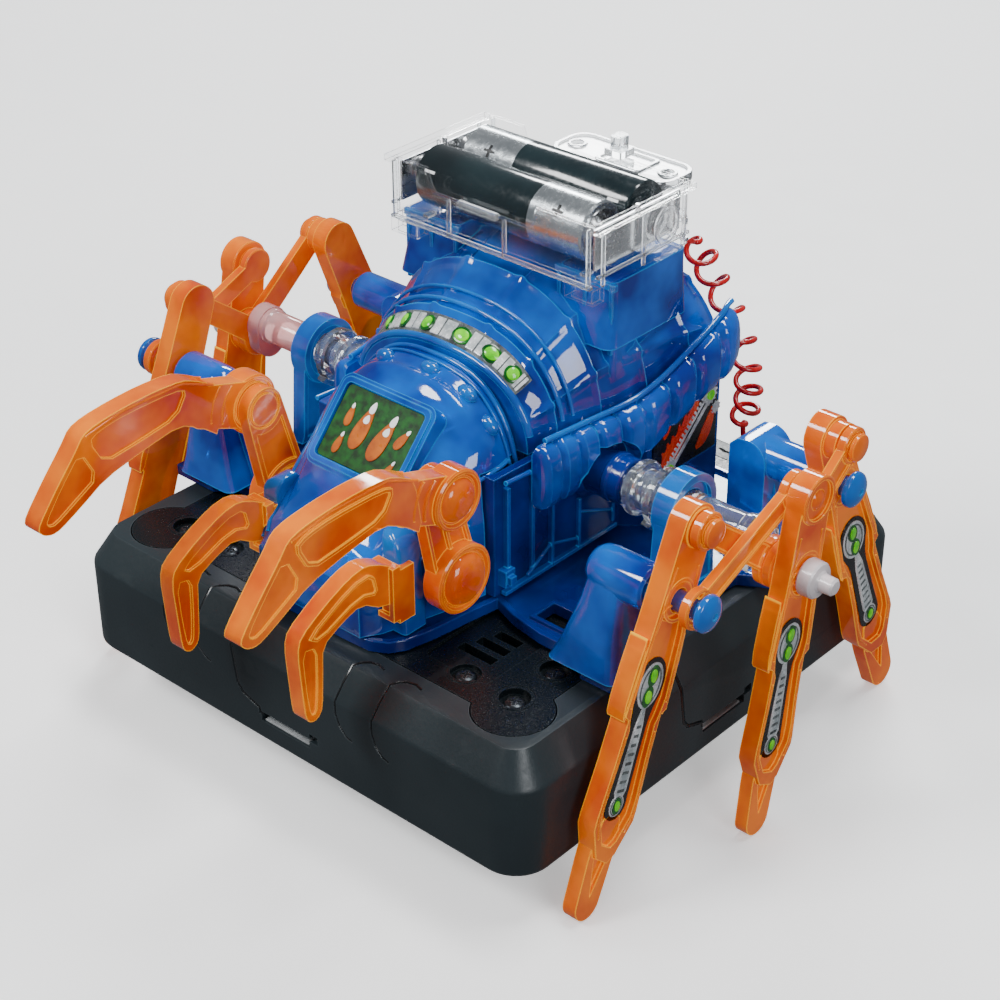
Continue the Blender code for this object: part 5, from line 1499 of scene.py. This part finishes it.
SHOULDER = (-42.0, 46.0)
ELBOW = (-48.0, 70.3)
ARM_X = 24.6
FOREARM_X = ARM_X + 3.6
FOREARM = ((-60.0, 80.6), (-64.0, 82.8), (-67.7, 84.4), (-76.0, 84.9), (-84.0, 84.6), (-91.5, 83.8),
           (-95.2, 82.6), (-97.6, 79.5), (-103.4, 73.2), (-108.4, 67.2), (-108.9, 65.4), (-107.6, 64.0),
           (-105.6, 63.3), (-103.4, 63.6), (-97.6, 66.4), (-90.5, 70.2), (-80.0, 72.4), (-69.5, 74.0),
           (-63.6, 71.0), (-58.0, 66.5))
FANG = ((-52, 49.5), (-58, 54.0), (-63.5, 56.5), (-68.6, 55.8), (-76, 52.6), (-83, 48.4), (-84.2, 45.0),
        (-83.6, 36.0), (-83, 28.0), (-82.2, 26.2), (-80.6, 25.5), (-79.0, 26.2), (-78.0, 27.8), (-77.4, 36.0),
        (-77.0, 43.0), (-71.5, 45.8), (-65.5, 47.6), (-59, 43.5), (-52, 43.5))
FANG_X = (17.2, 22.2)


def arm_disc(centre, radius, low, rim, rise):
    """A big ringed disc with a dome in its middle, as on the arm's joints."""
    profile = ((0, low), (radius - 0.4, low), (radius, low + 0.4), (radius, rim - 0.4), (radius - 0.4, rim),
               (radius - 1.0, rim), (radius - 1.5, rim - 0.7), (radius - 2.0, rim - 0.7),
               (radius - 2.3, rim - 0.1), (radius - 3.0, rim + rise * 0.45),
               (radius - 4.0, rim + rise * 0.72), (radius * 0.3, rim + rise * 0.95), (0, rim + rise))
    return turned(profile, centre, "X", 56)


def shoulder_link():
    outline = hull_of_discs(SHOULDER, 6.2, ELBOW, 5.2, 16)
    bar = prism(outline, ARM_X, ARM_X + 3.2)
    cut(bar, prism(inset_outline(outline, 0.9), ARM_X + 2.2, ARM_X + 4))
    direction = Vector((ELBOW[0] - SHOULDER[0], ELBOW[1] - SHOULDER[1])).normalized()
    across = Vector((-direction.y, direction.x)) * 0.4
    corners = ((SHOULDER, across), (ELBOW, across), (ELBOW, -across), (SHOULDER, -across))
    rib = prism([tuple(Vector(end) + offset) for end, offset in corners], ARM_X + 2.0, ARM_X + 3.1)
    join(bar, rib, arm_disc(SHOULDER, 8.2, ARM_X, ARM_X + 5.4, 1.9),
         disc(ELBOW, 1.9, ARM_X + 2, ARM_X + 7.2, "X", 24))
    cut(bar, ring_groove(SHOULDER, 6.9, ARM_X), ring_groove(SHOULDER, 4.6, ARM_X),
        ring_groove(ELBOW, 4.2, ARM_X))
    web = hull_of_discs(SHOULDER, 4.8, ELBOW, 3.8, 12)
    pocket = prism(web, ARM_X - 1, ARM_X + 0.7)
    cut(pocket, disc(SHOULDER, 8.6, ARM_X - 2, ARM_X + 2), disc(ELBOW, 6.0, ARM_X - 2, ARM_X + 2))
    cut(bar, pocket)
    return cut(bar, disc(SHOULDER, 2.2, ARM_X - 1, ARM_X + 5.4, "X", 24))


def ring_groove(centre, radius, face):
    """Cutter for a round groove in the face at x = face that looks towards the body."""
    return cut(disc(centre, radius + 0.35, face - 1, face + 0.5, "X", 44),
               disc(centre, radius - 0.35, face - 2, face + 1))


def forearm():
    inner = FOREARM_X
    arm = prism(smoothed(FOREARM), inner, inner + 4.8)
    join(arm, prism(hull_of_discs(ELBOW, 5.6, (-62.0, 75.4), 5.0, 14), inner, inner + 4.6))
    upper = smoothed(((-66.2, 81.6), (-70.0, 82.9), (-83.8, 83.0), (-90.8, 82.2), (-94.0, 80.6),
                      (-90.4, 73.6), (-80.4, 74.6), (-69.8, 76.0)))
    finger = smoothed(((-96.2, 79.2), (-102.0, 72.8), (-106.6, 67.0), (-106.2, 65.6), (-104.4, 65.2),
                       (-98.6, 68.2), (-92.4, 71.4)))
    panel = prism(upper, inner + 4.7, inner + 5.4)
    cut(panel, prism(inset_outline(upper, 0.8), inner + 5.0, inner + 6))
    join(arm, panel)
    cut(arm, prism(finger, inner + 4.3, inner + 6))
    join(arm, arm_disc(ELBOW, 7.0, inner, inner + 5.8, 1.5))
    for outline in (inset_outline(upper, 0.3), finger):
        cut(arm, prism(outline, inner - 1, inner + 0.7))
    cut(arm, ring_groove(ELBOW, 5.7, inner), ring_groove(ELBOW, 3.9, inner))
    return cut(arm, disc(ELBOW, 2.2, inner - 1, inner + 4, "X", 24))


def forearm_ribs():
    """Raised lines on both faces: two arcs round the elbow and one along the upper edge."""
    edge = [(-59.0, 79.8), (-67.9, 83.6), (-84.0, 83.9), (-94.4, 82.0)]
    lines = []
    for path, outer, inner in ((arc(ELBOW, 9.4, 130, 186, 14), (4.75, 0.35), (0.1, 0.3)),
                               (arc(ELBOW, 12.6, 138, 178, 14), (4.75, 0.35), (0.1, 0.3)),
                               (edge, (0.2, 0.4), (4.6, 0.4))):
        for rise, radius in (outer, inner):
            lines.append(tube([(FOREARM_X + rise, *point) for point in path], radius, 8))
    return gather(*lines)


def fang():
    x0, x1 = FANG_X
    arm = prism(smoothed(FANG), x0 + 0.2, x1 - 0.7)
    upper = smoothed(((-62.0, 54.2), (-68.2, 53.9), (-81.6, 47.2), (-78.4, 45.0), (-66.2, 49.8),
                      (-60.6, 48.0)))
    claw = smoothed(((-82.8, 44.4), (-82.2, 34.0), (-81.4, 27.8), (-80.4, 27.2), (-79.6, 28.4), (-79.0, 36.0),
                     (-78.8, 43.6)))
    panel = prism(upper, x1 - 0.8, x1 - 0.1)
    cut(panel, prism(inset_outline(upper, 0.6), x1 - 0.45, x1 + 1))
    join(arm, panel)
    cut(arm, prism(claw, x1 - 1.1, x1 + 1), prism(claw, x0 - 1, x0 + 0.9),
        prism(inset_outline(upper, 0.3), x0 - 1, x0 + 0.9))
    frame_box = box((x0 - 1.0, x1 + 0.5), (-57.0, -54.6), (39.0, 52.6))
    cut(frame_box, box((x0 + 0.4, x1 - 0.9), (-60.0, -56.2), (40.4, 51.2)))
    join(arm, frame_box, box((x0 - 1.0, x1 + 0.5), (-55.2, -50.5), (38.0, 51.5)))
    return cut(arm, COWL.inset(-0.6).skin(11.0, 24, 40, plain, (-61.2, HEAD_REAR)))


def arms():
    for item, name, body, node, width in (
            (shoulder_link(), "shoulder_bar", "shoulder_link_{}", "shoulder_link_{}", 0.25),
            (forearm(), "forearm_moulding", "forearm_{}", "forearm_{}", 0.4),
            (fang(), "small_arm_moulding", "chassis", "small_arm_{}", 0.4)):
        side_pair(item, name, ORANGE, body, "orange_plastic", (node,), bevel=width, segments=3)
    side_pair(forearm_ribs(), "forearm_ribs", ORANGE, "forearm_{}", "orange_plastic", angle=50)


# ---------------------------------------------------------------- batteries, tray, switch, wire

CELL_RADIUS = 7.1
CELL_HALF = 24.65
NUB_RADIUS = 2.7
CELL_Y = (8.5, 23.5)
CELL_Z = 108.6
TRAY_X = 30.3
TRAY_Y = (-1.0, 33.0)
TRAY_FLOOR = 99.6
TRAY_RIM = 114.4
SWITCH_PLATE = (-13.0, 22.0, 33.6, 47.0)
KNOB_CENTRE = (3.5, 40.5)
JACKET_SHARE = 9.0                          # where the black jacket ends, from the cell's middle


def cell_parts(y, toward):
    """Black jacket, silver shoulder with its end cap, and the can's flat negative end."""
    centre = (y, CELL_Z)
    t = toward
    jacket = turned(((0, -t * CELL_HALF), (5.8, -t * CELL_HALF), (6.3, -t * (CELL_HALF - 0.25)),
                     (6.9, -t * (CELL_HALF - 0.3)), (CELL_RADIUS, -t * (CELL_HALF - 0.8)),
                     (CELL_RADIUS, t * JACKET_SHARE), (0, t * JACKET_SHARE)), centre, "X", 56)
    sleeve = turned(((0, t * JACKET_SHARE), (CELL_RADIUS, t * JACKET_SHARE),
                     (CELL_RADIUS, t * (CELL_HALF - 0.8)), (6.7, t * (CELL_HALF - 0.25)),
                     (6.0, t * (CELL_HALF - 0.35)), (0, t * (CELL_HALF - 0.35))), centre, "X", 56)
    cap = turned(((0, t * (CELL_HALF - 0.8)), (5.6, t * (CELL_HALF - 0.8)), (5.4, t * (CELL_HALF - 0.1)),
                  (NUB_RADIUS + 0.5, t * (CELL_HALF - 0.05)), (NUB_RADIUS, t * (CELL_HALF + 0.2)),
                  (NUB_RADIUS, t * (CELL_HALF + 0.8)), (NUB_RADIUS - 0.3, t * (CELL_HALF + 1.0)),
                  (0, t * (CELL_HALF + 1.0))), centre, "X", 40)
    return jacket, sleeve, cap


def wrapped_patch(y, angles, x_range, lift=0.04, thickness=0.10):
    """A thin patch wrapped on a cell's side between two angles (degrees up from +Y towards +Z)."""
    rings = []
    for index in range(13):
        angle = math.radians(angles[0] + (angles[1] - angles[0]) * index / 12)
        ring = []
        for x, radius in ((x_range[0], CELL_RADIUS + lift), (x_range[0], CELL_RADIUS + lift + thickness),
                          (x_range[1], CELL_RADIUS + lift + thickness), (x_range[1], CELL_RADIUS + lift)):
            ring.append(Vector((x, y + radius * math.cos(angle), CELL_Z + radius * math.sin(angle))))
        rings.append(ring)
    return loft(rings)


def batteries():
    for name, y, toward in (("battery_near", CELL_Y[0], 1), ("battery_far", CELL_Y[1], -1)):
        jacket, sleeve, cap = cell_parts(y, toward)
        finish_piece(jacket, f"{name}_jacket", BATTERY_BLACK, "chassis", "battery_jacket", (name,))
        finish_piece(sleeve, f"{name}_sleeve", BATTERY_SILVER, "chassis", "battery_jacket")
        finish_piece(cap, f"{name}_cap", METAL, "chassis", "contact_metal")
        seam = wrapped_patch(y, (36, 38.5), (-CELL_HALF + 1.2, CELL_HALF - 1.2), 0.02, 0.05)
        finish_piece(seam, f"{name}_seam", BATTERY_BLACK, "chassis", "battery_jacket")
        minus_x = -toward * (CELL_HALF - 4.2)
        minus = wrapped_patch(y, (148, 153), (minus_x - 1.5, minus_x + 1.5))
        finish_piece(minus, f"{name}_minus", LABEL_WHITE, "chassis", "battery_jacket")
        plus_x = toward * (CELL_HALF - 8.0)
        plus = gather(wrapped_patch(y, (137.5, 142.5), (plus_x - 1.5, plus_x + 1.5)),
                      wrapped_patch(y, (128, 152), (plus_x - 0.3, plus_x + 0.3), 0.045))
        finish_piece(plus, f"{name}_plus", LABEL_BLACK, "chassis", "battery_jacket")


def spring(y, start, end):
    """A conical contact spring of 3.5 turns between the tray's end plate and a cell."""
    points = []
    for index in range(71):
        share = index / 70
        radius = 3.4 - 1.5 * share
        angle = 7 * math.pi * share
        points.append((start + (end - start) * share, y + radius * math.cos(angle),
                       CELL_Z + radius * math.sin(angle)))
    return tube(points, 0.28, 8)


CONTACT_BUTTON = ((0, 28.5), (3.6, 28.5), (3.4, 27.9), (2.4, 27.2), (2.2, 26.2), (0, 26.1))


def contacts():
    for side, name in ((-1, "contact_left"), (1, "contact_right")):
        plate = side_box(side, (28.25, 28.8), (1.2, 30.8), (103.2, 112.8))
        positive_y, negative_y = CELL_Y[::side]
        profile = [(radius, side * x) for radius, x in CONTACT_BUTTON]
        button = turned(profile, (positive_y, CELL_Z), "X", 32)
        divider = side_box(side, (28.0, 29.0), (15.6, 16.4), (108.0, 114.0))
        plate = gather(plate, button, spring(negative_y, side * 28.3, side * 25.4), divider)
        finish_piece(plate, f"{name}_spring", METAL, "chassis", "contact_metal", (name,), bevel=0.08,
                     angle=50)


def tray():
    """The clear holder: low long walls with high ends, ribs, a lip along each end wall and windowed end
    walls.
    """
    body = prism(rounded_rectangle(TRAY_X, 17.0, 1.6, 5, (0, 16.0)), TRAY_FLOOR, TRAY_RIM, "Z")
    cut(body, prism(rounded_rectangle(TRAY_X - 1.2, 15.8, 1.0, 4, (0, 16.0)), TRAY_FLOOR + 1.2, 120, "Z"))
    dip = [(-19.5, 116), (-17.6, 110.4), (-16.6, 109.0), (11.6, 109.0), (12.6, 110.4), (14.5, 116)]
    for y in TRAY_Y:
        cut(body, prism(dip, y - 3, y + 3, "Y"))
    for y, z, radius in ((24.0, 107.0, 3.4), (5.0, 110.5, 1.1), (28.0, 112.0, 1.1)):
        cut(body, disc((y, z), radius, TRAY_X - 3, TRAY_X + 3, "X", 32))
    for side in (-1, 1):
        lip = side_box(side, (TRAY_X - 0.6, TRAY_X + 1.2), TRAY_Y, (TRAY_RIM - 1.5, TRAY_RIM))
        foot = side_box(side, (22.0, TRAY_X - 0.2), (TRAY_Y[0] + 0.2, TRAY_Y[0] + 4),
                        (95.9, TRAY_FLOOR + 0.3))
        cut(foot, side_box(side, (23.2, TRAY_X - 1.4), (TRAY_Y[0] + 1.2, TRAY_Y[0] + 6), (95, 98.6)))
        join(body, lip, foot)
    middle = sum(CELL_Y) / 2
    join(body, box((-22, 22), (middle - 0.4, middle + 0.4), (TRAY_FLOOR + 0.6, 105.5)))
    finish_piece(body, "tray_shell", CLEAR_THIN, "chassis", "clear_plastic", ("battery_tray",), bevel=0.22,
                 segments=2)


def tray_ribs():
    """Ribs, corner posts, gussets and clip blocks moulded on the outside of the tray."""
    ribs = []
    for y in (TRAY_Y[0] - 0.05, TRAY_Y[1] - 0.45):
        for x, top in ((-28.6, 113.6), (-12.0, 108.8), (4.6, 108.8), (28.6, 113.6)):
            ribs.append(box((x - 0.25, x + 0.25), (y - 0.35, y + 0.85), (TRAY_FLOOR + 0.4, top)))
        ribs.append(box((-29.6, 29.6), (y - 0.35, y + 0.85), (TRAY_FLOOR, TRAY_FLOOR + 0.8)))
        ribs.append(box((-9.0, 2.6), (y - 0.45, y + 0.95), (107.9, 109.5)))
    ends = [box((TRAY_X - 0.2, TRAY_X + 0.5), (0.0, 32.0), (102.2, 102.9)),
            prism([(22.4, 33.2), (29.4, 33.2), (26.0, 36.6), (22.4, 36.6)], 103.4, 105.0, "Z"),
            ring((24.0, 107.0), 4.3, 3.4, TRAY_X - 0.1, TRAY_X + 0.5, "X", 36)]
    for y in (2.0, 16.0, 30.0):
        ends.append(box((TRAY_X - 0.2, TRAY_X + 0.55), (y - 0.4, y + 0.4), (TRAY_FLOOR + 0.4, 112.8)))
    for y in (3.6, 11.4):
        ends.append(box((22.6, 24.2), (y, y + 3.0), (TRAY_FLOOR - 0.25, TRAY_FLOOR + 0.6)))
    finish_piece(gather(*ribs, both_halves(*ends)), "tray_ribs", CLEAR, "chassis", "clear_plastic",
                 bevel=0.12)


def switch():
    x0, x1, y0, y1 = SWITCH_PLATE
    middle = ((x0 + x1) / 2, (y0 + y1) / 2)
    half = ((x1 - x0) / 2, (y1 - y0) / 2)
    plate = prism(rounded_rectangle(*half, 4.5, 10, middle), 108.4, 110.1, "Z")
    rim = prism(rounded_rectangle(*half, 4.5, 10, middle), 109.8, 110.6, "Z")
    cut(rim, prism(rounded_rectangle(half[0] - 1.1, half[1] - 1.1, 3.6, 10, middle), 109, 112, "Z"))
    join(plate, rim, box((x0 + 6, x1 - 6), (y0 + 0.1, y0 + 2), (101.0, 109.0)))
    kx, ky = KNOB_CENTRE
    track = prism(rounded_rectangle(6.6, 4.4, 1.2, 5, (kx + 2.5, ky)), 109.8, 110.6, "Z")
    cut(track, prism(rounded_rectangle(5.6, 3.4, 0.8, 5, (kx + 2.5, ky)), 109, 112, "Z"))
    join(plate, track)
    for x in (x0 + 4.2, x1 - 4.2):
        cut(plate, disc((x, middle[1]), 1.5, 107, 112, "Z", 28))
        join(plate, ring((x, middle[1]), 2.3, 1.5, 109.6, 110.6, "Z", 28))
    finish_piece(plate, "switch_plate", CLEAR, "chassis", "clear_plastic", ("switch_housing",), bevel=0.18,
                 segments=2)
    knob = join(prism(rounded_rectangle(2.6, 2.6, 0.5, 4, (kx, ky)), 110.9, 112.6, "Z"),
                prism(rounded_rectangle(1.5, 1.9, 0.6, 6, (kx, ky)), 112.3, 115.6, "Z"))
    for step in range(4):
        cut(knob, box((kx - 1.3 + 0.75 * step, kx - 1.05 + 0.75 * step), (ky - 3, ky + 3), (115.2, 116)))
    finish_piece(knob, "switch_slider", CLEAR, "switch_knob", "clear_plastic", ("switch_knob",), bevel=0.2,
                 segments=3)


COIL_TURNS = 8
COIL_RADIUS = 3.0
WIRE_RADIUS = 0.65
COIL_PATH = ((28.5, 37.5, 97.5), (29.0, 44.5, 86.0), (32.5, 52.0, 69.0), (33.5, 55.0, 54.0),
             (31.0, 57.0, 43.0))


def coil_middle(fraction):
    """A point of the coil's middle line, which runs smoothly through COIL_PATH."""
    points = [Vector(point) for point in COIL_PATH]
    spans = len(points) - 1
    place = min(fraction * spans, spans - 1e-6)
    index = int(place)
    return curve_point(points[max(index - 1, 0)], points[index], points[index + 1],
                       points[min(index + 2, spans)], place - index)


def coil():
    points = [Vector((29.5, 34.5, 99.0))]
    steps = COIL_TURNS * 34
    for index in range(steps + 1):
        fraction = index / steps
        centre = coil_middle(fraction)
        along = (coil_middle(min(fraction + 0.01, 1)) - coil_middle(max(fraction - 0.01, 0))).normalized()
        side = along.cross(Vector((0, 0, 1))).normalized()
        up = side.cross(along)
        ease = min(1.0, fraction * COIL_TURNS * 2, (1 - fraction) * COIL_TURNS * 2)
        angle = 2 * math.pi * COIL_TURNS * fraction
        points.append(centre + COIL_RADIUS * ease * (side * math.cos(angle) + up * math.sin(angle)))
    points += [(31.4, 57.0, 39.5), (31.5, 57.0, 37.0), (31.7, 56.5, 33.6), (31.8, 56.0, 30.6)]
    finish_piece(tube(points, WIRE_RADIUS), "coil_lead", RED_WIRE, "chassis", "red_wire", ("coil_wire",),
                 angle=60)
    grommet = turned(((0.75, 30.05), (2.0, 30.05), (2.0, 30.6), (1.5, 31.1), (0.75, 31.1), (0.75, 30.05)),
                     (31.8, 56.0), "Z", 28)
    finish_piece(grommet, "coil_grommet", DARK_METAL, "chassis", "red_wire")


# ---------------------------------------------------------------- inner works

def inner_works():
    """CAD nodes shown as they are, with fillets and their own finish."""
    looks = {"motor": (METAL, "motor_case"), "motor_cradle": (BLUE_DEEP, "blue_plastic"),
             "crank_gear": (GEAR_WHITE, "white_plastic"), "reduction_gear": (GEAR_WHITE, "white_plastic"),
             "motor_pinion": (GEAR_WHITE, "white_plastic")}
    for name, (material, slot_name) in looks.items():
        node = NODES[name]
        node.data.materials.clear()
        node.data.materials.append(material)
        weld = node.modifiers.new("weld", "WELD")
        weld.merge_threshold = 0.00002
        fillet = node.modifiers.new("fillet", "BEVEL")
        fillet.width = 0.15 * MM
        fillet.segments = 2
        fillet.limit_method = "ANGLE"
        fillet.angle_limit = math.radians(35)


# ---------------------------------------------------------------- build

for build in (base_shell, base_seam_shade, slot_lining, base_cover, base_screws, deck, posts, dome, tower_ribs,
              dome_collar, gearbox, wall_ribs, rear_wall, head, head_trim, head_lines, flank_band,
              sealing_flange, face_label, neck_label, flame_labels, outer_legs, mid_legs, links, crank_parts,
              arms, batteries, contacts, tray, tray_ribs, switch, coil, inner_works):
    build()


# ---------------------------------------------------------------- studio

FLOOR_Z = -13.2
CAMERA_PLACE = Vector((0.30228, -0.33604, 0.31250))
CAMERA_TARGET = Vector((0.00237, 0.0, 0.03554))
CAMERA_ROLL = math.radians(-0.24)
CAMERA_LENS = 80.35


def studio_floor():
    """A pale floor that sweeps up into a backdrop all round, well away from the object."""
    bm = bmesh.new()
    profile = [(1.2, 0.0)] + arc((2.0, 0.6), 0.6, -90, 0, 10) + [(2.6, 2.6)]
    rows = [[bm.verts.new((0, 0, 0))]]
    for radius, height in profile:
        rows.append([bm.verts.new((x, y, height)) for x, y in circle((0, 0), radius, 72)])
    for lower, upper in zip(rows, rows[1:]):
        for index in range(72):
            after = (index + 1) % 72
            corners = [lower[index % len(lower)], lower[after % len(lower)], upper[after], upper[index]]
            bm.faces.new(list(dict.fromkeys(corners)))
    floor = from_bmesh(bm, "studio_floor")
    floor.data.shade_smooth()
    floor.location = (0, 0, FLOOR_Z * MM)
    material = finish_of("studio_paper", (0.86, 0.87, 0.87), (0.90, 0.90, 0.90), (0.55, 0.7), 3.0, 60.0, 0.02,
                         glow=0.62)
    floor.data.materials.append(material)
    floor.visible_diffuse = False
    floor.visible_glossy = False


def area_light(name, place, target, size, power, colour=(1, 1, 1)):
    light = bpy.data.lights.new(name, "AREA")
    light.shape = "RECTANGLE"
    light.size, light.size_y = size
    light.energy = power
    light.color = colour
    item = in_scene(name, light)
    item.location = place
    item.rotation_mode = "QUATERNION"
    item.rotation_quaternion = (Vector(target) - Vector(place)).to_track_quat("-Z", "Y")


def lights():
    middle = (0, 0, 0.05)
    area_light("key", (-0.45, -0.75, 0.95), middle, (0.45, 0.30), 12)
    area_light("fill", (0.95, -0.35, 0.55), middle, (0.4, 0.5), 5, (0.96, 0.98, 1.0))
    area_light("top", (0.1, 0.25, 1.15), middle, (0.6, 0.25), 10)
    area_light("rim", (-0.55, 0.85, 0.60), middle, (0.4, 0.2), 8, (0.97, 0.99, 1.0))
    world = bpy.data.worlds.new("studio")
    world.use_nodes = True
    background = world.node_tree.nodes["Background"]
    background.inputs["Color"].default_value = (0.90, 0.94, 1.0, 1.0)
    background.inputs["Strength"].default_value = 0.22
    bpy.context.scene.world = world


def camera():
    data = bpy.data.cameras.new("camera")
    data.lens = CAMERA_LENS
    data.sensor_width = 36.0
    data.clip_start = 0.01
    data.clip_end = 20.0
    item = in_scene("camera", data)
    item.location = CAMERA_PLACE
    item.rotation_mode = "QUATERNION"
    aim = (CAMERA_TARGET - CAMERA_PLACE).to_track_quat("-Z", "Y")
    item.rotation_quaternion = aim @ Matrix.Rotation(CAMERA_ROLL, 4, "Z").to_quaternion()
    bpy.context.scene.camera = item


studio_floor()
lights()
camera()
